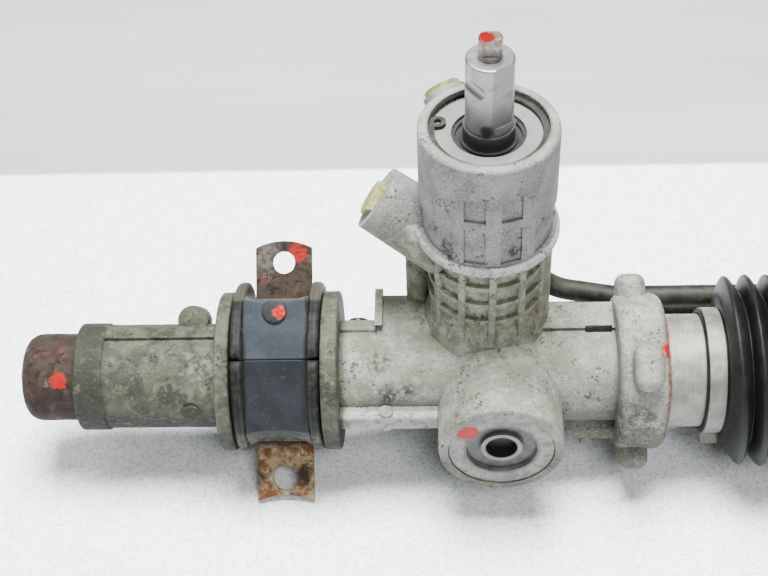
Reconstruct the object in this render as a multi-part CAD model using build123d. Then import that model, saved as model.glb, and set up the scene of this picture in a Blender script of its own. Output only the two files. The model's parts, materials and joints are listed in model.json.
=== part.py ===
from build123d import *
from math import acos, ceil, cos, pi, radians, sin, sqrt, tan
import os

# Power steering rack with a central tie rod take-off, in millimetres.
# Working frame: X along the rack bar, Z up along the pinion, Y back, away from the yoke.
# The working origin is on the rack bar's axis, straight in front of the pinion.
# Every sub-part is written relative to the middle of the column coupling on the input shaft.

# --- rack bar and gear pair ---
rack_radius = 12.5
tooth_module = 2.0
pinion_teeth = 8
pressure_angle = 25.0
profile_shift = 0.35
rack_tooth_top = 9.0
pinion_addendum = 0.8
pinion_dedendum = 1.25
rack_dedendum = 1.05
gear_backlash = 0.12
gear_face = 26.0
flank_steps = 5
rack_travel = 65.0
rack_end_chamfer = 1.5
rack_free_gap = 1.2

pitch_radius = tooth_module * pinion_teeth / 2
base_radius = pitch_radius * cos(radians(pressure_angle))
tooth_pitch = pi * tooth_module
pinion_tip_radius = pitch_radius + (pinion_addendum + profile_shift) * tooth_module
pinion_root_radius = pitch_radius - (pinion_dedendum - profile_shift) * tooth_module
rack_line = rack_tooth_top - tooth_module
pinion_back = rack_line + pitch_radius + profile_shift * tooth_module
rack_root = rack_line - rack_dedendum * tooth_module

# --- fits and gaps ---
running_gap = 0.04
seat_gap = 0.02
free_gap = 0.3
rim_round = 1.2

# --- left arm of the casting ---
tube_radius = 22.6
tube_bore = 15.0
casting_left = -176.0
end_collar_radius = 23.4
end_collar_length = 12.5
cap_length = 27.0
cap_radius = 19.4
cap_wall = 1.8
cap_overlap = 3.0
cap_nose_round = 5.0
end_bush_length = 14.0
end_bush_wall = 2.0
band_width = 7.5
band_height = 1.1
band_angle = 53.0
lug_x = -127.0
lug_radius = 6.5
lug_height = 24.0
lug_length = 13.0
spot_x = -126.0
spot_radius = 4.3
spot_angle = -44.0
spot_height = 0.6

# --- saddle mounts ---
mount_tilt = 48.0
left_mount_x = -89.0
bush_length = 38.4
channel_width = 25.6
bush_flange_radius = 37.0
bush_flange_offset = 3.7
bush_split = 6.8
slit_gap = 0.3
channel_front = 27.0
channel_top = 33.6
channel_foot = -30.0
channel_knee = (-24.4, 20.0)
channel_heel = 6.0
channel_back_radius = 27.0
channel_edge = 2.0
nub_radius = 5.6
nub_height = 1.6
nub_offset = 27.4
collar_radius = 34.5
collar_offset = 1.7
left_collar_width = 5.9
right_collar_width = 7.1
strap_width = 25.0
strap_thickness = 3.0
strap_face = -12.0
strap_top = 59.2
strap_foot = -56.7
strap_bow = 3.0
strap_hole_top = 49.6
strap_hole_foot = -46.2
strap_hole_top_radius = 5.0
strap_hole_foot_radius = 5.6

# --- gear case of the casting ---
case_radius = 21.4
case_left = -46.7
case_back = 26.0
case_top = 24.0
case_floor = -22.0
case_front = -2.0
case_right_front = 5.0
case_right_back = 22.8
case_right_top = 22.5
case_round = 5.0
case_blend = 12.0
pinion_case_radius = 21.0
pinion_case_floor = -42.0
return_column_radius = 5.0
return_column_x = -29.0
return_column_y = 24.0
return_column_top = 52.0
seam_reach = 27.6
seam_top = 3.0
seam_foot = -4.8
seam_round = 1.4
seam_right_angle = 90.0
seam_right_width = 6.5
seam_right_height = 7.6
rim_width = 3.4
rim_height = 2.6
rim_angle = 88.0
arm_rim_width = 12.0
arm_rim_height = 1.5
arm_rim_angle = 73.0
seam_knob_radius = 3.0
seam_knob_x = -43.0
seam_right_knob_x = 43.0

# --- valve tower ---
tower_top = 125.9
tower_radius = 27.6
tower_rim_round = 1.6
tower_shoulder = 91.0
tower_shoulder_radius = 26.1
tower_panel = (-14.3, 17.7)
tower_step = 72.0
tower_waist_radius = 22.8
tower_bulge_radius = 13.5
tower_bulge_x = 13.5
tower_flare_radius = 27.4
tower_flare_bottom = 18.0
tower_flare_top = 38.0
ridge_radius = 29.4
ridge_height = 4.4
ridge_round = 1.4
waist_rib_radius = 24.6
waist_rib_height = 2.2
waist_rib_first = 40.0
waist_rib_pitch = 9.6
waist_rib_count = 3
waist_rib_width = 3.2
waist_rib_foot = 29.0
waist_rib_angles = (-56.0, -26.0, 4.0, 34.0, 64.0)
window_angles = (-12.5, 18.0)
window_width = 8.6
window_depth = 1.3
window_rows = ((77.4, 95.5), (99.5, 110.5))

# --- pressure and return ports on the tower ---
port_radius = 14.0
port_root_radius = 15.5
port_start = 49.5
port_yaw = 15.0
port_tilt = 32.0
port_reach = 54.7
port_bore = 7.5
port_depth = 16.0
rear_port_radius = 9.0
rear_port_start = 96.0
rear_port_yaw = 29.0
rear_port_tilt = 32.0
rear_port_reach = 41.0
rear_port_bore = 6.0
rear_port_depth = 13.0
plug_head = 2.4
plug_head_extra = 1.4
plug_end_gap = 2.0
plug_break_angle = 20.0
plug_break_height = 3.8

# --- yoke ---
yoke_x = 5.2
yoke_boss_radius = 26.2
yoke_face = 43.2
yoke_radius = 15.0
yoke_cradle_start = 4.0
yoke_cradle_gap = 0.05
plug_radius = 22.2
plug_thickness = 9.0
plug_sink = 0.6
plug_ring = 15.6
plug_cone_depth = 3.4
plug_wall_depth = 2.4
plug_wall_slope = 0.7
plug_rim = 0.8
plug_hub = 8.6
plug_hub_sink = 1.2
plug_socket = 6.5
plug_socket_depth = 6.0
seal_ring_section = 1.1
spring_radius = 8.5
spring_hole = 4.0
spring_plate = 1.2
spring_pocket = 6.0

# --- flange end of the casting ---
flange_left = 54.6
flange_right = 75.0
flange_radius = 33.5
flange_round = 4.0
flange_ear_width = 12.4
flange_ear_length = 20.0
flange_ear_dome = 4.4
flange_ear_reach = 42.0
rib_slot_ends = (42.0, 53.4)
rib_slot_width = 2.6
rib_slot_depth = 3.8
flange_ears = ((51.5, 65.5), (136.0, 62.5), (226.0, 62.5), (316.0, 62.5))

# --- centre tube, boots and carrier ---
centre_tube_radius = 17.5
centre_tube_bore = 14.0
centre_tube_left = 62.0
spigot_radius = 24.3
spigot_right = 100.0
boot_seat = 9.0
boot_collar_wall = 1.8
boot_length = 128.0
boot_folds = 14
boot_crest = 41.5
boot_root = 32.6
boot_wall = 1.6
boot_shoulder = 3.0
clamp_width = 7.0
clamp_wall = 0.9
clamp_ear = 5.0
clamp_ear_turn = 138.0
pad_length = 56.0
pad_width = 34.0
pad_round = 6.0
pad_inset = 1.0
carrier_face = 47.0
carrier_stem_length = 40.0
slot_width = 14.0
slot_margin = 3.0
tie_rod_pitch = 40.0
tie_rod_thread = 4.25
tie_rod_depth = 18.0
screw_pitch = 16.0
screw_radius = 4.0
screw_head_radius = 6.5
screw_head_height = 5.0
screw_key = 6.0
screw_sink = 14.0
screw_grip = 9.0
shoe_thickness = 1.4
shoe_length = 12.0

# --- power cylinder ---
gland_length = 28.0
gland_spigot = 14.0
gland_seat = 8.0
cylinder_bore = 19.0
stroke_margin = 3.0
gland_wall = 2.0
seal_pocket_wall = 4.5
gland_throat = 2.0
far_margin = 36.0
piston_width = 16.0
piston_groove = 5.0
piston_groove_depth = 2.5
piston_spigot_radius = 8.0
piston_nut_length = 9.0
piston_nut_radius = 12.0
end_plug_length = 16.0
end_plug_sink = 3.0
end_plug_chamfer = 3.0
end_plug_dish = 13.0
end_plug_dish_depth = 2.0
snap_ring_width = 1.6
snap_ring_depth = 1.2
snap_ring_inward = 2.0
snap_ring_gap = 6.0
seal_width = 6.0
seal_lip = 1.3

# --- pinion, valve and input shaft ---
bearing_bore = 7.5
bearing_outer = 16.0
bearing_width = 9.0
bearing_race = 2.6
bearing_shoulder = 3.0
ball_count = 8
bottom_cap_thickness = 2.5
bottom_cap_height = 7.0
pinion_collar_radius = 9.0
pinion_nut_height = 6.0
pinion_nut_flat = 18.0
pinion_tail = 2.0
gear_well_radius = pinion_tip_radius + 1.0
neck_radius = 9.5
neck_bearing_wall = 3.0
neck_bearing_height = 12.0
neck_bearing_floor = 22.0
valve_bore = 17.0
valve_floor = 44.0
valve_top = 98.0
sleeve_radius = 16.5
sleeve_floor = 47.0
sleeve_height = 44.0
sleeve_seat = 8.0
sleeve_ring_depth = 1.6
sleeve_ring_height = 2.0
sleeve_ring_count = 4
sleeve_land = 2.0
sleeve_port_radius = 1.6
spool_radius = 10.1
top_bearing_height = 12.0
seal_outer = 14.3
seal_height = 7.0
seal_cup = 1.2
lip_wall = 1.2
seal_top = 120.5
retainer_outer = 23.0
retainer_inner = 14.5
retainer_thickness = 1.6
mouth_bore = 23.4
circlip_wire = 1.6
circlip_width = 2.6
circlip_grip = 1.0
circlip_gap_angle = 46.0
circlip_turn = 135.0
circlip_ear = 3.2
circlip_ear_angle = 7.0
circlip_hole = 1.4
shaft_radius = 9.25
shaft_top = 158.0
shaft_step = 127.0
shaft_turn = 12.5
shaft_flat = 8.0
shaft_flat_turn = -67.5
shaft_flat_bottom = 131.0
shaft_groove_radius = 4.8
shaft_groove_turn = 22.5
shaft_groove_height = 147.5
shaft_groove_reach = 11.6
shaft_edge = 0.8
bar_radius = 4.5
bar_waist = 3.0
bar_top = 167.0
bar_flat = 3.2
bar_flat_height = 7.0
bar_bottom = 20.0
bar_foot = 12.0
bar_edge = 0.6
bar_head_below_pin = 8.0
pin_radius = 1.5
pin_height = 105.0

# --- pipes ---
pipe_radius = 4.9
pipe_bore = 3.5
pipe_lead = 22.0
pipe_nut_flat = 17.0
pipe_nut_length = 11.0
pipe_nut_corner = 9.5
pipe_nut_edge = 1.0
pipe_boss_radius = 9.0
pipe_port_back = 43.0
cylinder_port_back = 30.0
far_port_gap = 2.0
upper_pipe_port = (6.0, 58.0)
lower_pipe_port = (-9.0, 38.0)
upper_pipe_run = (52.0, -8.0)
lower_pipe_run = (58.0, -24.0)
pipe_turn_x = 62.0
upper_pipe_drop = (26.0, 55.5, -3.5)
lower_pipe_drop = (8.0, 59.0, -26.0)
lower_pipe_rise = 60.0
upper_pipe_bends = (10.0, 22.0, 30.0, 10.0)
lower_pipe_bends = (10.0, 22.0, 30.0, 30.0, 10.0)
vent_x = -55.5
vent_radius = 4.4
vent_height = 3.0
vent_stem_radius = 2.2
vent_angle = -103.0

tilt_axis = Vector(0, -cos(radians(mount_tilt)), sin(radians(mount_tilt)))
coupling_height = (shaft_step + shaft_top - shaft_edge) / 2
datum = Vector(0, pinion_back, coupling_height)


# --- helpers ---
def along_x(radius, left, right):
    """Round bar on the rack axis."""
    return Pos((left + right) / 2, 0, 0) * Rot(0, 90, 0) * Cylinder(radius, right - left)


def upright(radius, bottom, top, x=0.0, y=pinion_back):
    """Round bar parallel to the pinion."""
    return Pos(x, y, (bottom + top) / 2) * Cylinder(radius, top - bottom)


def to_front(radius, inner, outer, x=yoke_x):
    """Round bar on the yoke axis, from one distance in front of the rack axis to another."""
    return Pos(x, -(inner + outer) / 2, 0) * Rot(90, 0, 0) * Cylinder(radius, outer - inner)


def to_back(radius, inner, outer, x, z):
    """Round bar that points back, at one place along the rack."""
    return Pos(x, (inner + outer) / 2, z) * Rot(90, 0, 0) * Cylinder(radius, outer - inner)


def block(left, right, front, back, bottom, top):
    """Box given by its six sides."""
    middle = Pos((left + right) / 2, (front + back) / 2, (bottom + top) / 2)
    return middle * Box(right - left, back - front, top - bottom)


def turned(points):
    """Solid of revolution about the rack axis of a closed outline given as (x, radius)."""
    return revolve(make_face(Polyline(*points, close=True)), Axis.X)


def turned_front(points):
    """Solid of revolution about the yoke axis of an outline given as (distance, radius)."""
    return Pos(yoke_x, 0, 0) * Rot(0, 0, -90) * turned(points)


def rounded(solid, size, direction):
    """The solid with the end edges of a round bar filleted."""
    return fillet(solid.edges().filter_by(GeomType.CIRCLE).sort_by(direction), size)


def mount_plane(x, height=0.0):
    """Plane across a saddle mount: its local x runs along the rack, its z out of the face."""
    return Plane(origin=tilt_axis * height + Vector(x, 0, 0), x_dir=(1, 0, 0), z_dir=tilt_axis)


def tilted(x, height, along=0.0):
    """Place with z along the mount direction turned about the rack by an angle in degrees."""
    turned_plane = mount_plane(x).rotated((along, 0, 0))
    return turned_plane.location * Pos(0, 0, height)


def side_plane(x):
    """Plane across the rack: its local x runs up the mount face and its y out of it."""
    up_face = Vector(0, sin(radians(mount_tilt)), cos(radians(mount_tilt)))
    return Plane(origin=(x, 0, 0), x_dir=up_face, z_dir=up_face.cross(tilt_axis))


def hexagon(across_flats, height):
    """Hexagonal bar standing on Z."""
    return extrude(RegularPolygon(across_flats / 2, 6, major_radius=False), height)


# --- the casting ---
def left_arm():
    arm = along_x(tube_radius, casting_left + end_collar_length - 1, arm_right() + 1)
    collar = along_x(end_collar_radius, casting_left, casting_left + end_collar_length)
    arm += rounded(collar, rim_round, Axis.X)
    band_left = casting_left + end_collar_length
    band_right = left_mount_x - bush_length / 2 - left_collar_width
    band_middle = (band_left + band_right) / 2
    band = Box(band_right - band_left, band_width, 2 * band_height)
    arm += tilted(band_middle, tube_radius, -band_angle) * band
    lug = Cylinder(lug_radius, lug_length)
    arm += mount_plane(lug_x).location * Pos(0, lug_height, 0) * lug
    arm += tilted(spot_x, tube_radius, -spot_angle) * Cylinder(spot_radius, 2 * spot_height)
    return arm


def arm_right():
    """Where the wide arm ends and the gear case begins, inside the right collar."""
    return left_mount_x + bush_length / 2


def saddle_collars(x, left_width, right_width):
    """The two upstanding rings that a rubber bush sits between."""
    offset = (mount_plane(0).location * Pos(0, collar_offset, 0)).position
    left_end = x - bush_length / 2
    right_end = x + bush_length / 2
    left = rounded(along_x(collar_radius, left_end - left_width, left_end), rim_round, Axis.X)
    right = rounded(along_x(collar_radius, right_end, right_end + right_width), rim_round, Axis.X)
    return Pos(offset) * (left + right)


def gear_case():
    case = along_x(case_radius, arm_right(), flange_left + 1)
    left_block = block(case_left, 0, case_front, case_back, case_floor, case_top)
    right_block = block(-1, flange_left + 1, case_right_front, case_right_back, case_floor,
                        case_right_top)
    corners = left_block.edges().filter_by(Axis.X).sort_by(lambda edge: edge.center().Z - edge.center().Y)
    left_block = fillet(corners[-1], case_blend)
    corners = left_block.edges().filter_by(Axis.X).sort_by(Axis.Y)[-2:]
    case += fillet(corners, case_round)
    corners = right_block.edges().filter_by(Axis.X).sort_by(Axis.Y)[-2:]
    case += fillet(corners, case_round)
    case -= rib_slot()
    case += upright(pinion_case_radius, pinion_case_floor, tower_flare_top)
    case += upright(return_column_radius, case_floor / 2, return_column_top, return_column_x,
                    return_column_y)
    return case + seam_rib() + back_rim()


def seam_rib():
    """Ribs along the front of the casting's parting line, on both sides of the yoke."""
    rib = block(arm_right() + 1, yoke_x, -seam_reach, 0, seam_foot, seam_top)
    rib = fillet(rib.edges().filter_by(Axis.X).sort_by(Axis.Y)[:2], seam_round)
    rib += upright(seam_knob_radius, seam_foot - seam_round, seam_top + seam_round, seam_knob_x,
                   seam_knob_radius - seam_reach)
    length = flange_left + 1 - yoke_x
    bar = Box(length, seam_right_width, 2 * seam_right_height)
    bar = fillet(bar.edges().filter_by(Axis.X), seam_round)
    rib += tilted((flange_left + 1 + yoke_x) / 2, case_radius, seam_right_angle) * bar
    knob = Cylinder(seam_knob_radius, 2 * (seam_right_height + seam_round))
    return rib + tilted(seam_right_knob_x, case_radius, seam_right_angle) * knob


def back_rim():
    """Raised rim up the back of the arm and round the end and top of the gear case."""
    left = case_left - 1
    rim = block(left, left + rim_width, 0, case_back + rim_height, 0, case_top + rim_height)
    rim = fillet(rim.edges().filter_by(Axis.X).sort_by(Axis.Z)[-2:].sort_by(Axis.Y)[-1], case_round)
    outside = Box(4 * rim_width, 4 * case_radius, 2 * case_radius)
    rim &= tilted(left, 2 * case_radius, -rim_angle) * outside
    bar = Box(left - arm_right() + rim_width, arm_rim_width, 2 * arm_rim_height)
    bar = fillet(bar.edges().filter_by(Axis.X), seam_round)
    rim += tilted((arm_right() + left + rim_width) / 2, case_radius, -arm_rim_angle) * bar
    top = Box(return_column_x - left, rim_width, 2 * rim_height)
    reach = (case_back + case_top) * cos(radians(45)) - case_round * (1 - cos(radians(45)))
    return rim + tilted((return_column_x + left) / 2, reach - rim_height, -rim_angle) * top


def tower():
    body = upright(tower_radius, tower_shoulder, tower_top)
    body = fillet(body.edges().filter_by(GeomType.CIRCLE), tower_rim_round)
    body += upright(tower_shoulder_radius, tower_step, tower_shoulder + tower_rim_round)
    panel = upright(tower_radius, tower_step, tower_shoulder + tower_rim_round)
    body += panel & block(*tower_panel, -tower_radius, pinion_back, tower_step, tower_top)
    ridge = upright(ridge_radius, tower_step, tower_step + ridge_height)
    body += fillet(ridge.edges().filter_by(GeomType.CIRCLE), ridge_round)
    body += upright(tower_waist_radius, tower_flare_bottom, tower_step + 1)
    body += upright(tower_bulge_radius, tower_flare_bottom, tower_step + 1, tower_bulge_x)
    flare = Cone(tower_flare_radius, tower_waist_radius, tower_flare_top - tower_flare_bottom)
    body += Pos(0, pinion_back, (tower_flare_top + tower_flare_bottom) / 2) * flare
    return body + waist_ribs() - windows()


def waist_ribs():
    """Grid of thin cast ribs round the front of the tower's waist."""
    ribs = []
    for number in range(waist_rib_count):
        bottom = waist_rib_first + number * waist_rib_pitch
        ribs.append(upright(waist_rib_radius, bottom, bottom + waist_rib_height))
    top = tower_step + 1
    reach = waist_rib_radius + 1
    for angle in waist_rib_angles:
        rib = Box(waist_rib_width, reach, top - waist_rib_foot)
        rib = fillet(rib.edges().filter_by(Axis.Z), waist_rib_width / 3)
        rib = Pos(0, -reach / 2, (top + waist_rib_foot) / 2) * rib
        ribs.append(Pos(0, pinion_back, 0) * Rot(0, 0, angle) * rib)
    return ribs


def windows():
    """Shallow rectangular recesses in the front of the tower."""
    cuts = []
    for angle in window_angles:
        for bottom, top in window_rows:
            cut = Box(window_width, 2 * window_depth, top - bottom)
            cut = Pos(0, -tower_radius, (top + bottom) / 2) * cut
            cuts.append(Pos(0, pinion_back, 0) * Rot(0, 0, angle) * cut)
    return cuts


def port_frame():
    """Plane at the mouth of the pressure port, z pointing out."""
    out = port_direction(90 - port_yaw, port_tilt)
    start = Vector(0, pinion_back, port_start)
    return Plane(origin=start, x_dir=Vector(0, 0, 1).cross(out), z_dir=out).offset(port_reach)


def rear_port_frame():
    """Plane at the mouth of the return port, z pointing out."""
    out = port_direction(rear_port_yaw, rear_port_tilt)
    return Plane(origin=(0, pinion_back, rear_port_start), z_dir=out).offset(rear_port_reach)


def port_direction(yaw, tilt):
    """Direction turned from the back towards the capped end by yaw, and up by tilt."""
    level = cos(radians(tilt))
    return Vector(-level * sin(radians(yaw)), level * cos(radians(yaw)), sin(radians(tilt)))


def port_bosses():
    boss = Pos(0, 0, -port_reach / 2) * Cone(port_root_radius, port_radius, port_reach)
    rear = Pos(0, 0, -rear_port_reach / 2) * Cylinder(rear_port_radius, rear_port_reach)
    both = port_frame().location * boss
    both += rear_port_frame().location * rear
    for x, z in (upper_pipe_port, lower_pipe_port):
        both += to_back(pipe_boss_radius, pinion_back, pipe_port_back, x, z)
    return both


def flange_end():
    flange = rounded(along_x(flange_radius, flange_left, flange_right), flange_round, Axis.X)
    for angle, x in flange_ears:
        ear = extrude(SlotOverall(flange_ear_length, flange_ear_width, rotation=90), flange_ear_reach)
        ear = fillet(ear.faces().sort_by(Axis.Z)[-1].edges(), flange_ear_dome)
        flange += Pos(x, 0, 0) * Rot(90 - angle, 0, 0) * ear
    return flange


def rib_slot():
    """Narrow pocket under the rib that joins the gear case to the flange."""
    left, right = rib_slot_ends
    front = case_right_front - rib_slot_width / 2
    return block(left, right, front, front + rib_slot_width, case_radius - rib_slot_depth, case_top)


def yoke_boss():
    boss = to_front(yoke_boss_radius, 0, yoke_face)
    return fillet(boss.edges().filter_by(GeomType.CIRCLE).sort_by(Axis.Y)[0], rim_round)


def casting_bores():
    """Everything that is bored out of the casting."""
    bores = [along_x(tube_bore, casting_left - 1, rack_bush_left())]
    bores.append(along_x(rack_bush_outer(), casting_left - 1, rack_bush_right()))
    bores.append(along_x(rack_radius + rack_free_gap, casting_left - 1, flange_right + 1))
    bores.append(along_x(centre_tube_radius + seat_gap, centre_tube_left, flange_right + 1))
    bores.append(upright(bearing_outer + seat_gap, pinion_case_floor - 1, bearing_ceiling()))
    bores.append(upright(gear_well_radius, bearing_ceiling() - 1, neck_bearing_floor + 1))
    neck_outer = neck_radius + neck_bearing_wall + seat_gap
    bores.append(upright(neck_outer, neck_bearing_floor, valve_floor + 1))
    bores.append(upright(valve_bore, valve_floor, valve_top + 1))
    bores.append(upright(seal_outer + seat_gap, valve_top, seal_top))
    bores.append(upright(mouth_bore, seal_top, tower_top + 1))
    groove = circlip_bottom() - seat_gap
    bores.append(upright(mouth_bore + circlip_grip, groove, groove + circlip_wire + 2 * seat_gap))
    bores.append(to_front(yoke_radius + running_gap, 0, yoke_face))
    bores.append(to_front(plug_radius, plug_floor(), yoke_face + 1))
    port = Pos(0, 0, 1 - port_depth / 2) * Cylinder(port_bore, port_depth + 2)
    bores.append(port_frame().location * port)
    rear = Pos(0, 0, 1 - rear_port_depth / 2) * Cylinder(rear_port_bore, rear_port_depth + 2)
    bores.append(rear_port_frame().location * rear)
    for x, z in (upper_pipe_port, lower_pipe_port):
        bores.append(to_back(pipe_bore, pinion_back + valve_bore / 2, pipe_port_back + 1, x, z))
    vent = Pos(0, 0, case_radius) * Cylinder(vent_stem_radius + seat_gap, 2 * vent_height + 1)
    bores.append(tilted(vent_x, 0, vent_angle) * vent)
    return bores


def bearing_ceiling():
    return -gear_face / 2 - bearing_shoulder


def bearing_floor():
    return bearing_ceiling() - bearing_width


def plug_floor():
    """Distance from the rack axis to the inner face of the yoke plug."""
    return yoke_face - plug_sink - plug_thickness


def rack_bush_left():
    return rack_bush_right() - end_bush_length


def rack_bush_right():
    return case_left


def rack_bush_outer():
    return rack_radius + running_gap + end_bush_wall


def pinion_housing():
    casting = left_arm() + saddle_collars(left_mount_x, left_collar_width, right_collar_width)
    casting += gear_case()
    casting += tower()
    casting += port_bosses()
    casting += flange_end()
    casting += yoke_boss()
    return casting - casting_bores()


def left_end_cap():
    """Drawn steel cap pushed over the end of the casting's bore."""
    left = casting_left - cap_length + cap_overlap
    shell = turned([
        (left, 0),
        (left, cap_radius - cap_nose_round),
        (left + cap_nose_round, cap_radius),
        (casting_left - seat_gap, cap_radius),
        (casting_left - seat_gap, cap_radius - cap_wall),
        (left + cap_nose_round + cap_wall, cap_radius - cap_wall),
        (left + cap_wall, cap_radius - cap_nose_round - cap_wall),
        (left + cap_wall, 0),
    ])
    spigot_outer = tube_bore - seat_gap
    spigot = turned([
        (casting_left - seat_gap, cap_radius - cap_wall),
        (casting_left - seat_gap, spigot_outer),
        (casting_left + cap_overlap, spigot_outer),
        (casting_left + cap_overlap, spigot_outer - cap_wall),
        (casting_left - cap_wall, spigot_outer - cap_wall),
        (casting_left - cap_wall, cap_radius - cap_wall),
    ])
    return shell + spigot


def rack_bush():
    outer = rack_bush_outer() - seat_gap
    return turned([
        (rack_bush_left(), outer),
        (rack_bush_right(), outer),
        (rack_bush_right(), rack_radius + running_gap),
        (rack_bush_left(), rack_radius + running_gap),
    ])


# --- saddle mounts ---
def bush_body(x):
    """Whole rubber bush: channel between two flanges, split later into halves."""
    outline = Polyline(
        (channel_top, strap_face + slit_gap),
        (channel_top, channel_front - channel_edge),
        (channel_top - channel_edge, channel_front),
        (bush_split, channel_front),
        channel_knee,
        (channel_foot, channel_heel),
        (channel_foot, strap_face + slit_gap),
        close=True,
    )
    plane = side_plane(x - bush_length / 2)
    core = extrude(plane * make_face(outline), bush_length)
    back = plane.location * Pos(0, 0, bush_length / 2) * Cylinder(channel_back_radius, bush_length)
    core += back
    flange_width = (bush_length - channel_width) / 2
    for left in (0, bush_length - flange_width):
        disc = Cylinder(bush_flange_radius, flange_width)
        disc = fillet(disc.edges().filter_by(GeomType.CIRCLE), rim_round)
        centre = Pos(bush_flange_offset, -bush_flange_offset, left + flange_width / 2)
        core += plane.location * centre * disc
    core = trim_ends(core, x)
    return core - along_x(tube_radius + seat_gap, x - bush_length, x + bush_length)


def trim_ends(core, x):
    """Keeps the bush inside its two collars."""
    big = 2 * bush_flange_radius
    keep = block(x - bush_length / 2 + slit_gap, x + bush_length / 2 - slit_gap, -big, big, -big, big)
    return core & keep


def bush_half(x, upper):
    big = 3 * bush_flange_radius
    side = 1 if upper else -1
    half = Pos(bush_split + side * (big + slit_gap) / 2, 0, 0) * Box(big, big, big)
    piece = bush_body(x) & (side_plane(x).location * half)
    if upper:
        nub = Pos(0, nub_offset, channel_front + nub_height / 2) * Cylinder(nub_radius, nub_height)
        piece += mount_plane(x).location * nub
    return piece


def saddle_strap(x):
    """Steel strap: a half ring behind the bush with two flat ears."""
    inner = channel_back_radius + slit_gap
    outer = inner + strap_thickness
    plane = side_plane(x - strap_width / 2)
    ring = Cylinder(outer, strap_width) - Cylinder(inner, strap_width)
    behind = Pos(0, strap_face - outer, 0) * Box(3 * outer, 2 * outer, 2 * strap_width)
    ring = ring & behind
    strap = plane.location * Pos(0, 0, strap_width / 2) * ring
    middle = strap_face - strap_thickness / 2
    inner_reach = sqrt(inner ** 2 - strap_face ** 2)
    place = mount_plane(x).location * Pos(0, 0, middle - strap_thickness / 2)
    for sign, reach, bow in ((1, strap_top, strap_bow), (-1, -strap_foot, -strap_bow)):
        strap += place * ear_plate(inner_reach + slit_gap, reach, bow, sign)
    return strap - strap_holes(x)


def ear_plate(inner, outer, bow, sign):
    """Flat ear whose end is an arc, bulging for a positive bow and hollow for a negative one."""
    half = strap_width / 2
    corner = outer - bow if bow > 0 else outer
    middle = outer if bow > 0 else outer + bow
    outline = Line((-half, sign * inner), (half, sign * inner))
    outline += Line((half, sign * inner), (half, sign * corner))
    outline += ThreePointArc((half, sign * corner), (0, sign * middle), (-half, sign * corner))
    outline += Line((-half, sign * corner), (-half, sign * inner))
    face = make_face(outline)
    return extrude(face, strap_thickness, dir=(0, 0, 1))


def strap_holes(x):
    place = mount_plane(x, strap_face).location
    upper = Pos(0, strap_hole_top, 0) * Cylinder(strap_hole_top_radius, 4 * strap_thickness)
    lower = Pos(0, strap_hole_foot, 0) * Cylinder(strap_hole_foot_radius, 4 * strap_thickness)
    return [place * upper, place * lower]


# --- centre section ---
def carrier_length():
    return pad_length + 2 * boot_seat + 2 * pad_inset


def carrier_middle():
    return spigot_right + boot_length + carrier_length() / 2


def slot_half_length():
    return carrier_stem_length / 2 + rack_travel + slot_margin


def boot_spigot():
    """Turned adapter ring that seals the tube in the flange and carries the boot."""
    return turned([
        (flange_right + seat_gap, spigot_radius),
        (spigot_right, spigot_radius),
        (spigot_right, centre_tube_radius + seat_gap),
        (flange_right + seat_gap, centre_tube_radius + seat_gap),
    ])


def centre_tube():
    right = gland_left() + gland_seat - seat_gap
    tube = turned([
        (centre_tube_left, centre_tube_radius),
        (right, centre_tube_radius),
        (right, centre_tube_bore),
        (centre_tube_left, centre_tube_bore),
    ])
    slot = SlotCenterToCenter(2 * slot_half_length() - slot_width, slot_width)
    cut = extrude(slot, -2 * centre_tube_radius)
    return tube - mount_plane(carrier_middle()).location * cut


def boot(start, direction):
    """Bellows with an outer zigzag, a collar at each end and a plain bore."""
    fold = (boot_length - 2 * boot_shoulder) / boot_folds
    seat = spigot_radius + seat_gap
    outline = [(0, seat), (0, seat + boot_collar_wall), (boot_seat, seat + boot_collar_wall)]
    for number in range(boot_folds):
        middle = boot_seat + boot_shoulder + (number + 0.5) * fold
        outline.append((middle - fold / 2, boot_root))
        outline.append((middle, boot_crest))
    last = boot_seat + boot_length - boot_shoulder
    outline.append((last, boot_root))
    outline.append((boot_seat + boot_length, seat + boot_collar_wall))
    outline.append((2 * boot_seat + boot_length, seat + boot_collar_wall))
    outline.append((2 * boot_seat + boot_length, seat))
    outline.append((boot_seat + boot_length, seat))
    outline.append((last, boot_root - boot_wall))
    outline.append((boot_seat + boot_shoulder, boot_root - boot_wall))
    outline.append((boot_seat, seat))
    return turned([(start + direction * along, radius) for along, radius in outline])


def boot_left():
    return boot(spigot_right - boot_seat, 1)


def boot_right():
    return boot(2 * carrier_middle() - (spigot_right - boot_seat), -1)


def band_clamp(left):
    """Thin band clamp with a crimped ear."""
    inner = spigot_radius + 2 * seat_gap + boot_collar_wall
    band = turned([
        (left, inner + clamp_wall),
        (left + clamp_width, inner + clamp_wall),
        (left + clamp_width, inner),
        (left, inner),
    ])
    ear = Pos(0, 0, inner + clamp_wall / 2 + clamp_ear / 2) * Box(clamp_width, clamp_ear, clamp_ear)
    return band + Pos(left + clamp_width / 2, 0, 0) * Rot(clamp_ear_turn, 0, 0) * ear


def boot_clamps():
    inset = (boot_seat - clamp_width) / 2
    left_seat = spigot_right - boot_seat
    return Compound([band_clamp(left_seat + inset), band_clamp(gland_left() + inset)])


def carrier_clamps():
    inset = (boot_seat - clamp_width) / 2
    left_seat = spigot_right + boot_length
    right_seat = 2 * carrier_middle() - left_seat - boot_seat
    return Compound([band_clamp(left_seat + inset), band_clamp(right_seat + inset)])


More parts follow.
